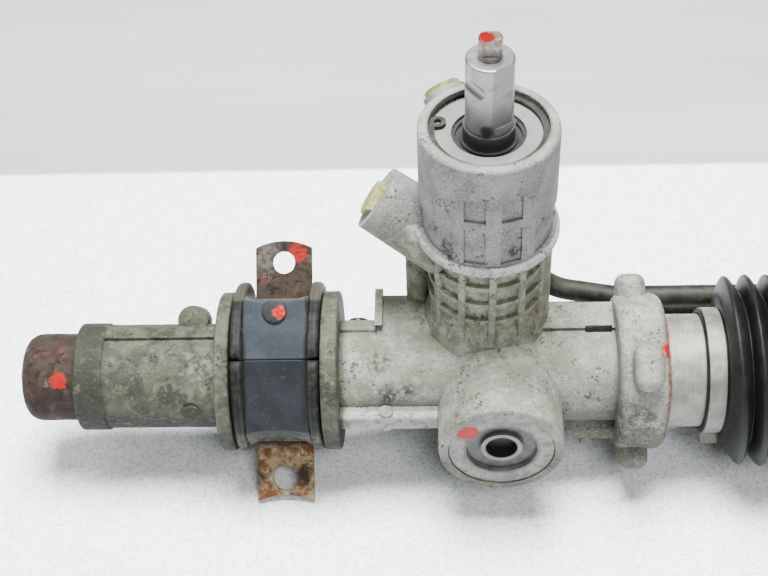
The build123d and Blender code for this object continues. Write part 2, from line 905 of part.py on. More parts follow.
def tie_rod_carrier():
    """Ring round the tube, with a flat pad for the tie rods behind and a stem through the slot."""
    middle = carrier_middle()
    place = mount_plane(middle).location
    inner = shoe_outer() + seat_gap
    left = middle - carrier_length() / 2
    right = middle + carrier_length() / 2
    ring = along_x(spigot_radius, left, right)
    pad = Box(pad_length, pad_width, carrier_face)
    pad = fillet(pad.edges().filter_by(Axis.Z), pad_round)
    ring += place * Pos(0, 0, -carrier_face / 2) * pad
    ring -= along_x(inner, left - 1, right + 1)
    stem_height = inner + 1
    stem_width = slot_width - 2 * free_gap
    stem = Box(carrier_stem_length, stem_width, stem_height)
    stem = fillet(stem.edges().filter_by(Axis.Z), stem_width / 2 - free_gap)
    stem = place * Pos(0, 0, -stem_height / 2) * stem
    ring += stem - along_x(rack_radius + seat_gap, left, right)
    face = place * Pos(0, 0, -carrier_face)
    holes = []
    for side in (-1, 1):
        holes.append(face * Pos(side * tie_rod_pitch / 2, 0, 0) * Cylinder(tie_rod_thread, 2 * tie_rod_depth))
        screw = face * Pos(side * screw_pitch / 2, 0, 0)
        holes.append(screw * Cylinder(screw_radius + seat_gap, 2 * carrier_face))
        holes.append(screw * Cylinder(screw_head_radius + free_gap, 2 * screw_sink))
    return ring - holes


def carrier_screws():
    """Two cap screws that hold the carrier's stem on the rack bar."""
    screws = []
    for side in (-1, 1):
        head = screw_sink - carrier_face
        screw = Cylinder(screw_head_radius, screw_head_height)
        screw = Pos(0, 0, head - screw_head_height / 2) * screw
        socket = Pos(0, 0, head - screw_head_height) * hexagon(screw_key, screw_head_height / 2)
        tip = -rack_radius + screw_grip
        screw += Pos(0, 0, (head + tip) / 2) * Cylinder(screw_radius, tip - head)
        place = mount_plane(carrier_middle() + side * screw_pitch / 2).location
        screws.append(place * (screw - socket))
    return Compound(screws)


def slide_shoes():
    """Two plain liners between the carrier's ring and the tube."""
    middle = carrier_middle()
    rings = []
    for left in (middle - carrier_length() / 2, middle + carrier_length() / 2 - shoe_length):
        rings.append(turned([
            (left, shoe_outer()),
            (left + shoe_length, shoe_outer()),
            (left + shoe_length, centre_tube_radius + running_gap),
            (left, centre_tube_radius + running_gap),
        ]))
    return Compound(rings)


def shoe_outer():
    return centre_tube_radius + running_gap + shoe_thickness


# --- power cylinder ---
def gland_left():
    """Left end of the gland, where the right boot ends."""
    return 2 * carrier_middle() - spigot_right


def piston_x():
    stroke_end = gland_left() + gland_length + gland_spigot + stroke_margin
    return stroke_end + rack_travel + piston_width / 2


def cylinder_gland():
    """Turned and bored part between the two tubes, with the rod bush and seal inside."""
    left = gland_left()
    right = left + gland_length
    throat = rack_radius + gland_throat
    ring = turned([
        (left, spigot_radius),
        (right, spigot_radius),
        (right, cylinder_bore - seat_gap),
        (right + gland_spigot, cylinder_bore - seat_gap),
        (right + gland_spigot, throat),
        (right - gland_wall, throat),
        (right - gland_wall, seal_pocket()),
        (left + gland_seat, seal_pocket()),
        (left + gland_seat, centre_tube_radius + seat_gap),
        (left, centre_tube_radius + seat_gap),
    ])
    x = gland_port_x()
    level = upper_pipe_run[1]
    ring += to_back(pipe_boss_radius, seal_pocket() + 1, cylinder_port_back, x, level)
    return ring - to_back(pipe_bore, seal_pocket() + gland_wall, cylinder_port_back + 1, x, level)


def seal_pocket():
    return rack_radius + seal_pocket_wall


def gland_port_x():
    return gland_left() + gland_length - pipe_boss_radius


def rod_seal():
    left = gland_left() + gland_seat
    return turned([
        (left, seal_pocket() - seat_gap),
        (left + seal_width, seal_pocket() - seat_gap),
        (left + seal_width, rack_radius + running_gap),
        (left + seal_width / 2, rack_radius + seal_lip),
        (left, rack_radius + running_gap),
    ])


def rod_bush():
    left = gland_left() + gland_seat + seal_width
    right = gland_left() + gland_length - gland_wall
    return turned([
        (left, seal_pocket() - seat_gap),
        (right, seal_pocket() - seat_gap),
        (right, rack_radius + running_gap),
        (left, rack_radius + running_gap),
    ])


def cylinder_right():
    reach = rack_travel + piston_width / 2 + piston_nut_length + stroke_margin
    return piston_x() + reach + end_plug_length + end_plug_sink


def right_mount_x():
    return cylinder_right() - far_margin - bush_length / 2


def cylinder_tube():
    left = gland_left() + gland_length
    right = cylinder_right()
    tube = turned([
        (left, tube_radius),
        (right, tube_radius),
        (right, cylinder_bore),
        (left, cylinder_bore),
    ])
    collars = saddle_collars(right_mount_x(), right_collar_width, left_collar_width)
    collars -= along_x(tube_radius - 1, left, right)
    x = far_port_x()
    boss = to_back(pipe_boss_radius, 0, cylinder_port_back, x, far_port_z())
    tube += [collars, boss - along_x(cylinder_bore, left, right)]
    tube -= to_back(pipe_bore, 0, cylinder_port_back + 1, x, far_port_z())
    groove = end_ring_left()
    return tube - turned([
        (groove, cylinder_bore + snap_ring_depth),
        (groove + snap_ring_width, cylinder_bore + snap_ring_depth),
        (groove + snap_ring_width, cylinder_bore - snap_ring_depth),
        (groove, cylinder_bore - snap_ring_depth),
    ])


def end_ring_left():
    return cylinder_right() - end_plug_sink


def far_port_x():
    return right_mount_x() + bush_length / 2 + left_collar_width + pipe_boss_radius + far_port_gap


def cylinder_end_plug():
    right = end_ring_left() - seat_gap
    left = right - end_plug_length
    return turned([
        (left, 0),
        (left, cylinder_bore - end_plug_chamfer),
        (left + end_plug_chamfer, cylinder_bore - seat_gap),
        (right, cylinder_bore - seat_gap),
        (right, end_plug_dish + end_plug_dish_depth),
        (right - end_plug_dish_depth, end_plug_dish),
        (right - end_plug_dish_depth, 0),
    ])


def snap_ring():
    left = end_ring_left() + seat_gap
    right = end_ring_left() + snap_ring_width - seat_gap
    ring = turned([
        (left, cylinder_bore + snap_ring_depth - seat_gap),
        (right, cylinder_bore + snap_ring_depth - seat_gap),
        (right, cylinder_bore - snap_ring_inward),
        (left, cylinder_bore - snap_ring_inward),
    ])
    outside = cylinder_bore + 2 * snap_ring_depth
    return ring - block(left - 1, right + 1, 0, outside, -snap_ring_gap / 2, snap_ring_gap / 2)


# --- rack bar and piston ---
def rack_teeth():
    """Gaps between the teeth, cut with straight flanks at the pressure angle."""
    slope = tan(radians(pressure_angle))
    half = tooth_pitch / 4 + gear_backlash / 2
    top = rack_tooth_top + 1
    gaps = []
    count = tooth_gaps_each_way()
    for number in range(-count, count + 1):
        centre = number * tooth_pitch
        low = half - (rack_line - rack_root) * slope
        high = half + (top - rack_line) * slope
        outline = Polyline(
            (centre - low, rack_root),
            (centre + low, rack_root),
            (centre + high, top),
            (centre - high, top),
            close=True,
        )
        gaps.append(Pos(0, 0, -rack_radius) * extrude(make_face(outline), 2 * rack_radius))
    return gaps


def tooth_gaps_each_way():
    """Gaps on each side of the middle one, enough for the pinion at both ends of the travel."""
    return ceil((rack_travel + pinion_tip_radius) / tooth_pitch - 0.5)


def rack_bar():
    left = rack_bush_left() - rack_travel
    right = piston_x() + piston_width / 2 + piston_nut_length
    shoulder = piston_x() - piston_width / 2
    bar = turned([
        (left, 0),
        (left, rack_radius - rack_end_chamfer),
        (left + rack_end_chamfer, rack_radius),
        (shoulder, rack_radius),
        (shoulder, piston_spigot_radius),
        (right, piston_spigot_radius),
        (right, 0),
    ])
    toothed = (tooth_gaps_each_way() + 0.5) * tooth_pitch
    bar -= block(-toothed, toothed, rack_tooth_top, rack_radius + 1, -rack_radius, rack_radius)
    bar -= rack_teeth()
    for side in (-1, 1):
        thread = Cylinder(screw_radius + seat_gap, 2 * screw_grip + 1)
        place = mount_plane(carrier_middle() + side * screw_pitch / 2, -rack_radius).location
        bar -= place * thread
    return bar


def piston():
    left = piston_x() - piston_width / 2 + seat_gap
    right = piston_x() + piston_width / 2
    groove = piston_x() - piston_groove / 2
    outer = cylinder_bore - running_gap
    return turned([
        (left, outer),
        (groove, outer),
        (groove, outer - piston_groove_depth),
        (groove + piston_groove, outer - piston_groove_depth),
        (groove + piston_groove, outer),
        (right, outer),
        (right, piston_spigot_radius + seat_gap),
        (left, piston_spigot_radius + seat_gap),
    ])


def piston_seal():
    left = piston_x() - piston_groove / 2 + seat_gap
    right = left + piston_groove - 2 * seat_gap
    return turned([
        (left, cylinder_bore - running_gap / 2),
        (right, cylinder_bore - running_gap / 2),
        (right, cylinder_bore - piston_groove_depth),
        (left, cylinder_bore - piston_groove_depth),
    ])


def piston_nut():
    left = piston_x() + piston_width / 2 + seat_gap
    nut = Rot(0, 90, 0) * hexagon(2 * piston_nut_radius, piston_nut_length - seat_gap)
    hole = Rot(0, 90, 0) * Pos(0, 0, piston_nut_length / 2) * Cylinder(
        piston_spigot_radius + seat_gap, 2 * piston_nut_length)
    return Pos(left, 0, 0) * (nut - hole)


# --- yoke ---
def support_yoke():
    """Round slipper that presses the rack bar into the pinion."""
    inner = yoke_cradle_start
    outer = plug_floor() - running_gap
    yoke = to_front(yoke_radius, inner, outer)
    yoke -= along_x(rack_radius + yoke_cradle_gap, -2 * yoke_radius, 3 * yoke_radius)
    yoke -= to_front(spring_radius + free_gap, outer - spring_pocket, outer + 1)
    groove = outer - spring_pocket / 2
    ring = to_front(yoke_radius + 1, groove - seal_ring_section, groove + seal_ring_section)
    return yoke - (ring - to_front(yoke_radius - seal_ring_section, 0, 2 * yoke_face))


def yoke_seal_ring():
    outer = plug_floor() - running_gap - spring_pocket / 2
    section = seal_ring_section - seat_gap
    ring = to_front(yoke_radius, outer - section, outer + section)
    ring = fillet(ring.edges().filter_by(GeomType.CIRCLE), section / 2)
    return ring - to_front(yoke_radius - seal_ring_section + seat_gap, 0, 2 * yoke_face)


def yoke_spring():
    """Two disc springs, wide ends apart, in the yoke's pocket."""
    near = plug_floor() - running_gap - spring_pocket + seat_gap
    far = plug_floor() - seat_gap
    middle = (near + far) / 2
    discs = [
        turned_front([
            (near, spring_radius),
            (near + spring_plate, spring_radius),
            (middle - seat_gap, spring_hole),
            (middle - seat_gap - spring_plate, spring_hole),
        ]),
        turned_front([
            (far - spring_plate, spring_radius),
            (far, spring_radius),
            (middle + seat_gap + spring_plate, spring_hole),
            (middle + seat_gap, spring_hole),
        ]),
    ]
    return Compound(discs)


def yoke_plug():
    """Adjusting plug with a conical recess round a raised hub."""
    inner = plug_floor()
    face = yoke_face - plug_sink
    return turned_front([
        (inner, 0),
        (inner, plug_ring - seat_gap),
        (face, plug_ring - seat_gap),
        (face, plug_ring - plug_rim),
        (face - plug_wall_depth, plug_ring - plug_rim - plug_wall_slope),
        (face - plug_cone_depth, plug_hub),
        (face - plug_hub_sink, plug_hub),
        (face - plug_hub_sink, plug_socket),
        (face - plug_socket_depth, plug_socket),
        (face - plug_socket_depth, 0),
    ])


def yoke_lock_ring():
    ring = to_front(plug_radius - seat_gap, plug_floor(), yoke_face - plug_sink)
    ring = fillet(ring.edges().filter_by(GeomType.CIRCLE).sort_by(Axis.Y)[0], rim_round / 2)
    return ring - to_front(plug_ring, 0, 2 * yoke_face)


# --- pinion and bearings ---
def tooth_outline():
    """Closed outline of the pinion, involute flanks on radial roots."""
    half_angle = (pi / 2 + 2 * profile_shift * tan(radians(pressure_angle))) / pinion_teeth
    half_angle -= gear_backlash / 2 / pitch_radius
    start = half_angle + involute(pitch_radius)
    points = []
    edges = []
    for number in range(pinion_teeth):
        centre = -pi / 2 + number * 2 * pi / pinion_teeth
        right = [polar(radius, centre - start + involute(radius)) for radius in flank_radii()]
        left = [polar(radius, centre + start - involute(radius)) for radius in flank_radii()]
        foot = polar(pinion_root_radius, centre - start)
        heel = polar(pinion_root_radius, centre + start)
        edges.append(Line(foot, right[0]))
        edges.append(Spline(*right))
        edges.append(ThreePointArc(right[-1], polar(pinion_tip_radius, centre), left[-1]))
        edges.append(Spline(*reversed(left)))
        edges.append(Line(left[0], heel))
        points.append((foot, heel))
    for number in range(pinion_teeth):
        middle = -pi / 2 + (number + 0.5) * 2 * pi / pinion_teeth
        following = points[(number + 1) % pinion_teeth][0]
        edges.append(ThreePointArc(points[number][1], polar(pinion_root_radius, middle), following))
    return edges


def flank_radii():
    step = (pinion_tip_radius - base_radius) / flank_steps
    return [base_radius + number * step for number in range(flank_steps + 1)]


def involute(radius):
    """Involute angle of a radius, in radians."""
    angle = acos(min(1.0, base_radius / radius))
    return tan(angle) - angle


def polar(radius, angle):
    return (radius * cos(angle), radius * sin(angle))


def pinion():
    gear = extrude(make_face(Wire(tooth_outline())), gear_face)
    gear = Pos(0, pinion_back, -gear_face / 2) * gear
    tail = bearing_floor() - pinion_nut_height - pinion_tail
    shaft = upright(bearing_bore - seat_gap, tail, -gear_face / 2)
    shaft += upright(pinion_root_radius, -gear_face / 2, gear_face / 2)
    shaft += upright(pinion_collar_radius, bearing_ceiling(), -gear_face / 2)
    shaft += upright(neck_radius, gear_face / 2, sleeve_floor + sleeve_seat)
    gear += shaft
    top = sleeve_floor + sleeve_seat
    bore = upright(bar_waist + free_gap, bar_bottom, top + 1)
    return gear - bore - upright(bar_radius + running_gap, bar_bottom, bar_bottom + bar_foot)


def pinion_nut():
    bottom = bearing_floor() - pinion_nut_height
    nut = Pos(0, pinion_back, bottom) * hexagon(pinion_nut_flat, pinion_nut_height)
    return nut - upright(bearing_bore, bottom - 1, bearing_floor() + 1)


def lower_bearing():
    """Outer race and balls of the ball bearing under the pinion."""
    middle = (bearing_ceiling() + bearing_floor()) / 2
    race = upright(bearing_outer, bearing_floor(), bearing_ceiling())
    race -= upright(bearing_outer - bearing_race, bearing_floor() - 1, bearing_ceiling() + 1)
    orbit = (bearing_bore + bearing_outer) / 2
    ball = (bearing_outer - bearing_bore - 2 * bearing_race) / 2
    groove = Pos(0, pinion_back, middle) * Torus(orbit, ball + running_gap)
    balls = []
    for number in range(ball_count):
        x, y = polar(orbit, 2 * pi * number / ball_count)
        balls.append(Pos(x, pinion_back + y, middle) * Sphere(ball - running_gap))
    return Compound([race - groove] + balls)


def lower_bearing_inner():
    race = upright(bearing_bore + bearing_race, bearing_floor() + seat_gap, bearing_ceiling() - seat_gap)
    return race - upright(bearing_bore, bearing_floor() - 1, bearing_ceiling() + 1)


def bearing_retainer():
    top = bearing_floor() - seat_gap
    ring = upright(bearing_outer, top - bearing_race, top)
    return ring - upright(bearing_outer - bearing_race, top - bearing_race - 1, top + 1)


def pinion_bottom_cap():
    cap = upright(bearing_outer, pinion_case_floor, pinion_case_floor + bottom_cap_height)
    inner = upright(bearing_outer - bottom_cap_thickness, pinion_case_floor + bottom_cap_thickness,
                    pinion_case_floor + bottom_cap_height + 1)
    return cap - inner


def neck_bearing():
    top = neck_bearing_floor + neck_bearing_height
    outer = upright(neck_radius + neck_bearing_wall, neck_bearing_floor, top)
    return outer - upright(neck_radius + running_gap, neck_bearing_floor - 1, valve_floor)


def neck_seal():
    bottom = neck_bearing_floor + neck_bearing_height + seat_gap
    top = bottom + seal_width
    outer = neck_radius + neck_bearing_wall
    seal = upright(outer, bottom, top)
    seal -= upright(neck_radius + running_gap, bottom - 1, top + 1)
    cup = upright(outer - lip_wall, bottom + lip_wall, top + 1)
    return seal - (cup - upright(neck_radius + lip_wall, bottom - 1, top + 1))


def valve_sleeve():
    top = sleeve_floor + sleeve_height
    seat_top = sleeve_floor + sleeve_seat + free_gap
    sleeve = upright(sleeve_radius, sleeve_floor, top)
    sleeve -= upright(neck_radius + seat_gap, sleeve_floor - 1, seat_top)
    sleeve -= upright(spool_radius + running_gap, seat_top, top + 1)
    for bottom in ring_grooves():
        cut = upright(sleeve_radius + 1, bottom, bottom + sleeve_ring_height)
        core = upright(sleeve_radius - sleeve_ring_depth, bottom - 1, bottom + sleeve_ring_height + 1)
        sleeve -= cut - core
    for bottom in ring_grooves()[:-1]:
        middle = bottom + (ring_pitch() + sleeve_ring_height) / 2
        hole = Rot(0, 90, 0) * Cylinder(sleeve_port_radius, 3 * sleeve_radius)
        sleeve -= Pos(0, pinion_back, middle) * hole
    return sleeve


def ring_pitch():
    return (sleeve_height - 2 * sleeve_land - sleeve_ring_height) / (sleeve_ring_count - 1)


def ring_grooves():
    """Lower edges of the ring grooves round the valve sleeve."""
    first = sleeve_floor + sleeve_land
    return [first + number * ring_pitch() for number in range(sleeve_ring_count)]


def sleeve_rings():
    rings = []
    inner = sleeve_radius - sleeve_ring_depth + seat_gap
    for bottom in ring_grooves():
        top = bottom + sleeve_ring_height
        ring = upright(valve_bore - running_gap, bottom + seat_gap, top - seat_gap)
        rings.append(ring - upright(inner, bottom - 1, top + 1))
    return Compound(rings)


def top_bearing():
    bottom = valve_top + seat_gap
    bush = upright(seal_outer, bottom, bottom + top_bearing_height)
    return bush - upright(spool_radius + running_gap, bottom - 1, bottom + top_bearing_height + 1)


def shaft_seal():
    seal = upright(seal_outer, seal_top - seal_height, seal_top)
    seal -= upright(spool_radius + running_gap, seal_top - seal_height - 1, seal_top + 1)
    cup = upright(seal_outer - lip_wall, seal_top - seal_cup, seal_top + 1)
    return seal - (cup - upright(spool_radius + lip_wall, seal_top - seal_height, seal_top + 1))


def retainer_washer():
    top = seal_top + retainer_thickness
    washer = upright(retainer_outer, seal_top + seat_gap, top)
    return washer - upright(retainer_inner, seal_top - 1, top + 1)


def circlip():
    """Internal circlip with an eyelet at each end."""
    bottom = circlip_bottom()
    ring = upright(mouth_bore + circlip_grip - seat_gap, bottom, bottom + circlip_wire)
    ring -= upright(mouth_bore - circlip_width, bottom - 1, bottom + circlip_wire + 1)
    gap = Box(2 * mouth_bore, 2 * mouth_bore * tan(radians(circlip_gap_angle / 2)), 4 * circlip_wire)
    gap = Pos(mouth_bore, 0, bottom) * gap
    turn = Pos(0, pinion_back, 0) * Rot(0, 0, circlip_turn)
    ring -= turn * gap
    for side in (-1, 1):
        angle = radians(side * (circlip_gap_angle / 2 + circlip_ear_angle))
        x, y = polar(mouth_bore - circlip_ear, angle)
        eyelet = turn * Pos(x, y, bottom + circlip_wire / 2)
        ring += eyelet * Cylinder(circlip_ear, circlip_wire)
        ring -= eyelet * Cylinder(circlip_hole, 2 * circlip_wire)
    return ring


def circlip_bottom():
    return seal_top + retainer_thickness + seat_gap


# --- input shaft ---
def input_shaft():
    bottom = sleeve_floor + sleeve_seat + 2 * free_gap
    shaft = upright(spool_radius, bottom, shaft_step)
    upper = upright(shaft_radius, shaft_step - 1, shaft_top)
    upper = fillet(upper.edges().filter_by(GeomType.CIRCLE).sort_by(Axis.Z)[-1], shaft_edge)
    axis = Pos(0, pinion_back, 0)
    shaft += axis * Rot(0, 0, shaft_turn) * axis.inverse() * (upper - clamp_flat() - bolt_groove())
    shaft -= upright(bar_radius + running_gap, bottom - 1, shaft_top + 1)
    return shaft - pin_hole()


def clamp_flat():
    """What is cut off the shaft's side so that the clamp joint can't turn on it."""
    outside = 2 * shaft_radius
    flat = block(shaft_flat, outside, -outside, outside, shaft_flat_bottom, shaft_top + 1)
    return Pos(0, pinion_back, 0) * Rot(0, 0, shaft_flat_turn) * flat


def bolt_groove():
    """Half-round groove across the shaft that the clamp joint's bolt lies in."""
    groove = Pos(-shaft_groove_reach, 0, shaft_groove_height) * Rot(90, 0, 0)
    groove = groove * Cylinder(shaft_groove_radius, 4 * shaft_radius)
    return Pos(0, pinion_back, 0) * Rot(0, 0, shaft_groove_turn) * groove


def pin_hole():
    hole = Cylinder(pin_radius + seat_gap, 3 * spool_radius)
    return Pos(0, pinion_back, pin_height) * Rot(0, 90, 0) * hole


def torsion_bar():
    bar = upright(bar_radius, pin_height - bar_head_below_pin, bar_top)
    bar = fillet(bar.edges().filter_by(GeomType.CIRCLE).sort_by(Axis.Z)[-1], bar_edge)
    bar += upright(bar_waist, bar_bottom + free_gap, pin_height)
    bar += upright(bar_radius, bar_bottom + free_gap, bar_bottom + bar_foot)
    flats = upright(2 * bar_radius, bar_top - bar_flat_height, bar_top + 1)
    front = pinion_back - bar_flat
    back = pinion_back + bar_flat
    flats -= block(-2 * bar_radius, 2 * bar_radius, front, back, bar_bottom, bar_top + 2)
    return bar - flats - pin_hole()


def torsion_pin():
    length = 2 * (spool_radius - free_gap)
    return Pos(0, pinion_back, pin_height) * Rot(0, 90, 0) * Cylinder(pin_radius, length)


# --- ports and pipes ---
def transit_plug(bore, depth):
    """Moulded plug in a port, its head on the port's mouth."""
    length = depth - plug_end_gap
    stem = Pos(0, 0, -length / 2) * Cylinder(bore - seat_gap, length)
    head = Pos(0, 0, plug_head / 2 + seat_gap) * Cylinder(bore + plug_head_extra, plug_head)
    return stem + Pos(0, 0, seat_gap) * Cylinder(bore - seat_gap, plug_head) + head


def port_plug():
    """Plug of the pressure port, its head broken away at one side."""
    break_off = Rot(plug_break_angle, 0, 0) * Box(4 * port_bore, 2 * port_bore, 2 * plug_head)
    break_off = Pos(0, port_bore, plug_break_height) * break_off
    return port_frame().location * (transit_plug(port_bore, port_depth) - break_off)


def rear_port_plug():
    return rear_port_frame().location * transit_plug(rear_port_bore, rear_port_depth)


def pipe(points, bends):
    """Steel pipe along straight runs joined by round bends."""
    path = FilletPolyline(*points, radius=bends)
    start = Plane(origin=path @ 0, z_dir=path % 0)
    ring = Circle(pipe_radius) - Circle(pipe_bore)
    return sweep(start * ring, path=path)


def upper_pipe_points():
    x, z = upper_pipe_port
    back, level = upper_pipe_run
    end = gland_port_x()
    start = pipe_port_back + seat_gap
    return [(x, start, z), (x, start + pipe_lead, z), upper_pipe_drop, (pipe_turn_x, back, level),
            (end, back, level), (end, cylinder_port_back + seat_gap, level)]


def lower_pipe_points():
    x, z = lower_pipe_port
    back, level = lower_pipe_run
    end = far_port_x()
    start = pipe_port_back + seat_gap
    foot = far_port_z()
    return [(x, start, z), (x, start + pipe_lead, z), lower_pipe_drop, (pipe_turn_x, back, level),
            (end - lower_pipe_rise, back, level), (end, back, foot),
            (end, cylinder_port_back + seat_gap, foot)]


def far_port_z():
    return lower_pipe_run[1] / 2


def upper_pipe():
    return pipe(upper_pipe_points(), upper_pipe_bends)


def lower_pipe():
    return pipe(lower_pipe_points(), lower_pipe_bends)


def pipe_nuts():
    """Union nut at each end of both pipes."""
    faces = [
        (upper_pipe_port[0], pipe_port_back, upper_pipe_port[1]),
        (lower_pipe_port[0], pipe_port_back, lower_pipe_port[1]),
        (gland_port_x(), cylinder_port_back, upper_pipe_run[1]),
        (far_port_x(), cylinder_port_back, far_port_z()),
    ]
    barrel = Cylinder(pipe_nut_corner, pipe_nut_length)
    barrel = fillet(barrel.edges().filter_by(GeomType.CIRCLE), pipe_nut_edge)
    nut = hexagon(pipe_nut_flat, pipe_nut_length) & (Pos(0, 0, pipe_nut_length / 2) * barrel)
    nut -= Cylinder(pipe_radius + seat_gap, 3 * pipe_nut_length)
    return Compound([Pos(x, back + 2 * seat_gap, z) * Rot(-90, 0, 0) * nut for x, back, z in faces])


def vent_cap():
    """Rubber cap of the breather, its stem in a drilling of the casting."""
    foot = case_radius + seat_gap
    head = Pos(0, 0, foot + vent_height / 2) * Cylinder(vent_radius, vent_height)
    head = fillet(head.edges().filter_by(GeomType.CIRCLE).sort_by(Axis.Z)[-1], rim_round)
    stem = Pos(0, 0, foot - vent_height / 2) * Cylinder(vent_stem_radius, vent_height + 2 * seat_gap)
    return tilted(vent_x, 0, vent_angle) * (head + stem)


PARTS = {
    "pinion_housing": pinion_housing,
    "left_end_cap": left_end_cap,
    "rack_bush": rack_bush,
    "left_bush_upper": lambda: bush_half(left_mount_x, True),
    "left_bush_lower": lambda: bush_half(left_mount_x, False),
    "left_saddle_strap": lambda: saddle_strap(left_mount_x),
    "right_bush_upper": lambda: bush_half(right_mount_x(), True),
    "right_bush_lower": lambda: bush_half(right_mount_x(), False),
    "right_saddle_strap": lambda: saddle_strap(right_mount_x()),
    "boot_spigot": boot_spigot,
    "centre_tube": centre_tube,
    "boot_left": boot_left,
    "boot_right": boot_right,
    "boot_clamps": boot_clamps,
    "cylinder_gland": cylinder_gland,
    "rod_seal": rod_seal,
    "rod_bush": rod_bush,
    "cylinder_tube": cylinder_tube,
    "cylinder_end_plug": cylinder_end_plug,
    "snap_ring": snap_ring,
    "support_yoke": support_yoke,
    "yoke_seal_ring": yoke_seal_ring,
    "yoke_spring": yoke_spring,
    "yoke_plug": yoke_plug,
    "yoke_lock_ring": yoke_lock_ring,
    "lower_bearing": lower_bearing,
    "bearing_retainer": bearing_retainer,
    "pinion_bottom_cap": pinion_bottom_cap,
    "neck_bearing": neck_bearing,
    "neck_seal": neck_seal,
    "top_bearing": top_bearing,
    "shaft_seal": shaft_seal,
    "retainer_washer": retainer_washer,
    "circlip": circlip,
    "port_plug": port_plug,
    "rear_port_plug": rear_port_plug,
    "upper_pipe": upper_pipe,
    "lower_pipe": lower_pipe,
    "pipe_nuts": pipe_nuts,
    "vent_cap": vent_cap,
    "rack_bar": rack_bar,
    "piston": piston,
    "piston_seal": piston_seal,
    "piston_nut": piston_nut,
    "tie_rod_carrier": tie_rod_carrier,
    "carrier_screws": carrier_screws,
    "slide_shoes": slide_shoes,
    "carrier_clamps": carrier_clamps,
    "pinion": pinion,
    "lower_bearing_inner": lower_bearing_inner,
    "pinion_nut": pinion_nut,
    "valve_sleeve": valve_sleeve,
    "sleeve_rings": sleeve_rings,
    "input_shaft": input_shaft,
    "torsion_bar": torsion_bar,
    "torsion_pin": torsion_pin,
}

os.makedirs("parts", exist_ok=True)
for name, make in PARTS.items():
    export_step(Pos(-datum.X, -datum.Y, -datum.Z) * make(), f"parts/{name}.step")
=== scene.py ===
import json
from math import asin, cos, pi, radians, sin, sqrt

import bmesh
import bpy
import numpy as np
from mathutils import Matrix, Vector


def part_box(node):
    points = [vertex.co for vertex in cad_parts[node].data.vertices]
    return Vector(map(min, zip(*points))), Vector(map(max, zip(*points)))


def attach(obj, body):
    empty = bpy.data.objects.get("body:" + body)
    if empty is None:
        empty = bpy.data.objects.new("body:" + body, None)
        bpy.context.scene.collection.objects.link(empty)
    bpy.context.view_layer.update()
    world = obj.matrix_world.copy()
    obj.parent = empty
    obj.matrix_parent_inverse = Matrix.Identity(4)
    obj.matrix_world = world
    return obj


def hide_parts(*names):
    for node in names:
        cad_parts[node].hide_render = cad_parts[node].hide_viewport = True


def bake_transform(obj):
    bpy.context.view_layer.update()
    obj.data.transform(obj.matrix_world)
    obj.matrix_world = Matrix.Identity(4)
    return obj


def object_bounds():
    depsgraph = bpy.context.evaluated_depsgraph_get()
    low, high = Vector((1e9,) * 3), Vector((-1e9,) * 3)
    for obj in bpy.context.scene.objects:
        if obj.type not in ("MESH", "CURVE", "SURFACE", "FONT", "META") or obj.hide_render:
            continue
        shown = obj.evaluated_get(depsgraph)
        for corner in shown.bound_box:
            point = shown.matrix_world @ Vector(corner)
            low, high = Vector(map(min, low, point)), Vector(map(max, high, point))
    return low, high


# Steering rack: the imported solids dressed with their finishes, and finer meshes for the bellows,
# the rubber of the mounts and the end cap.
# Everything is in metres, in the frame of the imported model: X along the rack bar, Z up along the
# input shaft, Y back, with the origin on the input shaft above the tower.

MM = 0.001

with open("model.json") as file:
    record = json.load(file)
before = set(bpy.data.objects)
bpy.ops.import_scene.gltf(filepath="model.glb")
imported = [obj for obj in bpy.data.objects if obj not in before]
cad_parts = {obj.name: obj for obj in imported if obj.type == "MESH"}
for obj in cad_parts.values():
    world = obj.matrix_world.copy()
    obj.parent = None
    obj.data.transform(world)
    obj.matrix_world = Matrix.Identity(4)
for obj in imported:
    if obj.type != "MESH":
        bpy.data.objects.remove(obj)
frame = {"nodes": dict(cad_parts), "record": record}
cad_low, cad_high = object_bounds()
nodes = frame["nodes"]

# --- places that the finishes and the new pieces are set from ---
SHAFT_TO_RACK = Vector((0.0, 15.7, 142.1)) * MM
MOUNT_TILT = radians(48.0)
MOUNT_OUT = Vector((0.0, -cos(MOUNT_TILT), sin(MOUNT_TILT)))
MOUNT_UP = Vector((0.0, sin(MOUNT_TILT), cos(MOUNT_TILT)))
RACK_Y = -SHAFT_TO_RACK.y
RACK_Z = -SHAFT_TO_RACK.z
LEFT_MOUNT_X = -89.0 * MM
RIGHT_MOUNT_X = 0.5 * (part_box("right_bush_upper")[0][0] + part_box("right_bush_upper")[1][0])


def rack_point(x, y, z):
    """A point given in millimetres from the rack bar's axis in front of the pinion."""
    return Vector((x, y, z)) * MM - SHAFT_TO_RACK


# --- camera, light and floor ---
CAMERA_AT = rack_point(-19.2, -411.5, 480.8)
CAMERA_RIGHT = Vector((0.9992, 0.0175, -0.0373))
CAMERA_DOWN = Vector((-0.0133, -0.7205, -0.6933))
CAMERA_LENS_MM = 67.97
SENSOR_MM = 36.0


def make_camera():
    data = bpy.data.cameras.new("camera")
    data.lens = CAMERA_LENS_MM
    data.sensor_width = SENSOR_MM
    data.clip_end = 20.0
    camera = bpy.data.objects.new("camera", data)
    right = CAMERA_RIGHT.normalized()
    up = (-CAMERA_DOWN - right * right.dot(-CAMERA_DOWN)).normalized()
    turn = Matrix((right, up, right.cross(up))).transposed()
    camera.matrix_world = Matrix.Translation(CAMERA_AT) @ turn.to_4x4()
    bpy.context.scene.collection.objects.link(camera)
    bpy.context.scene.camera = camera


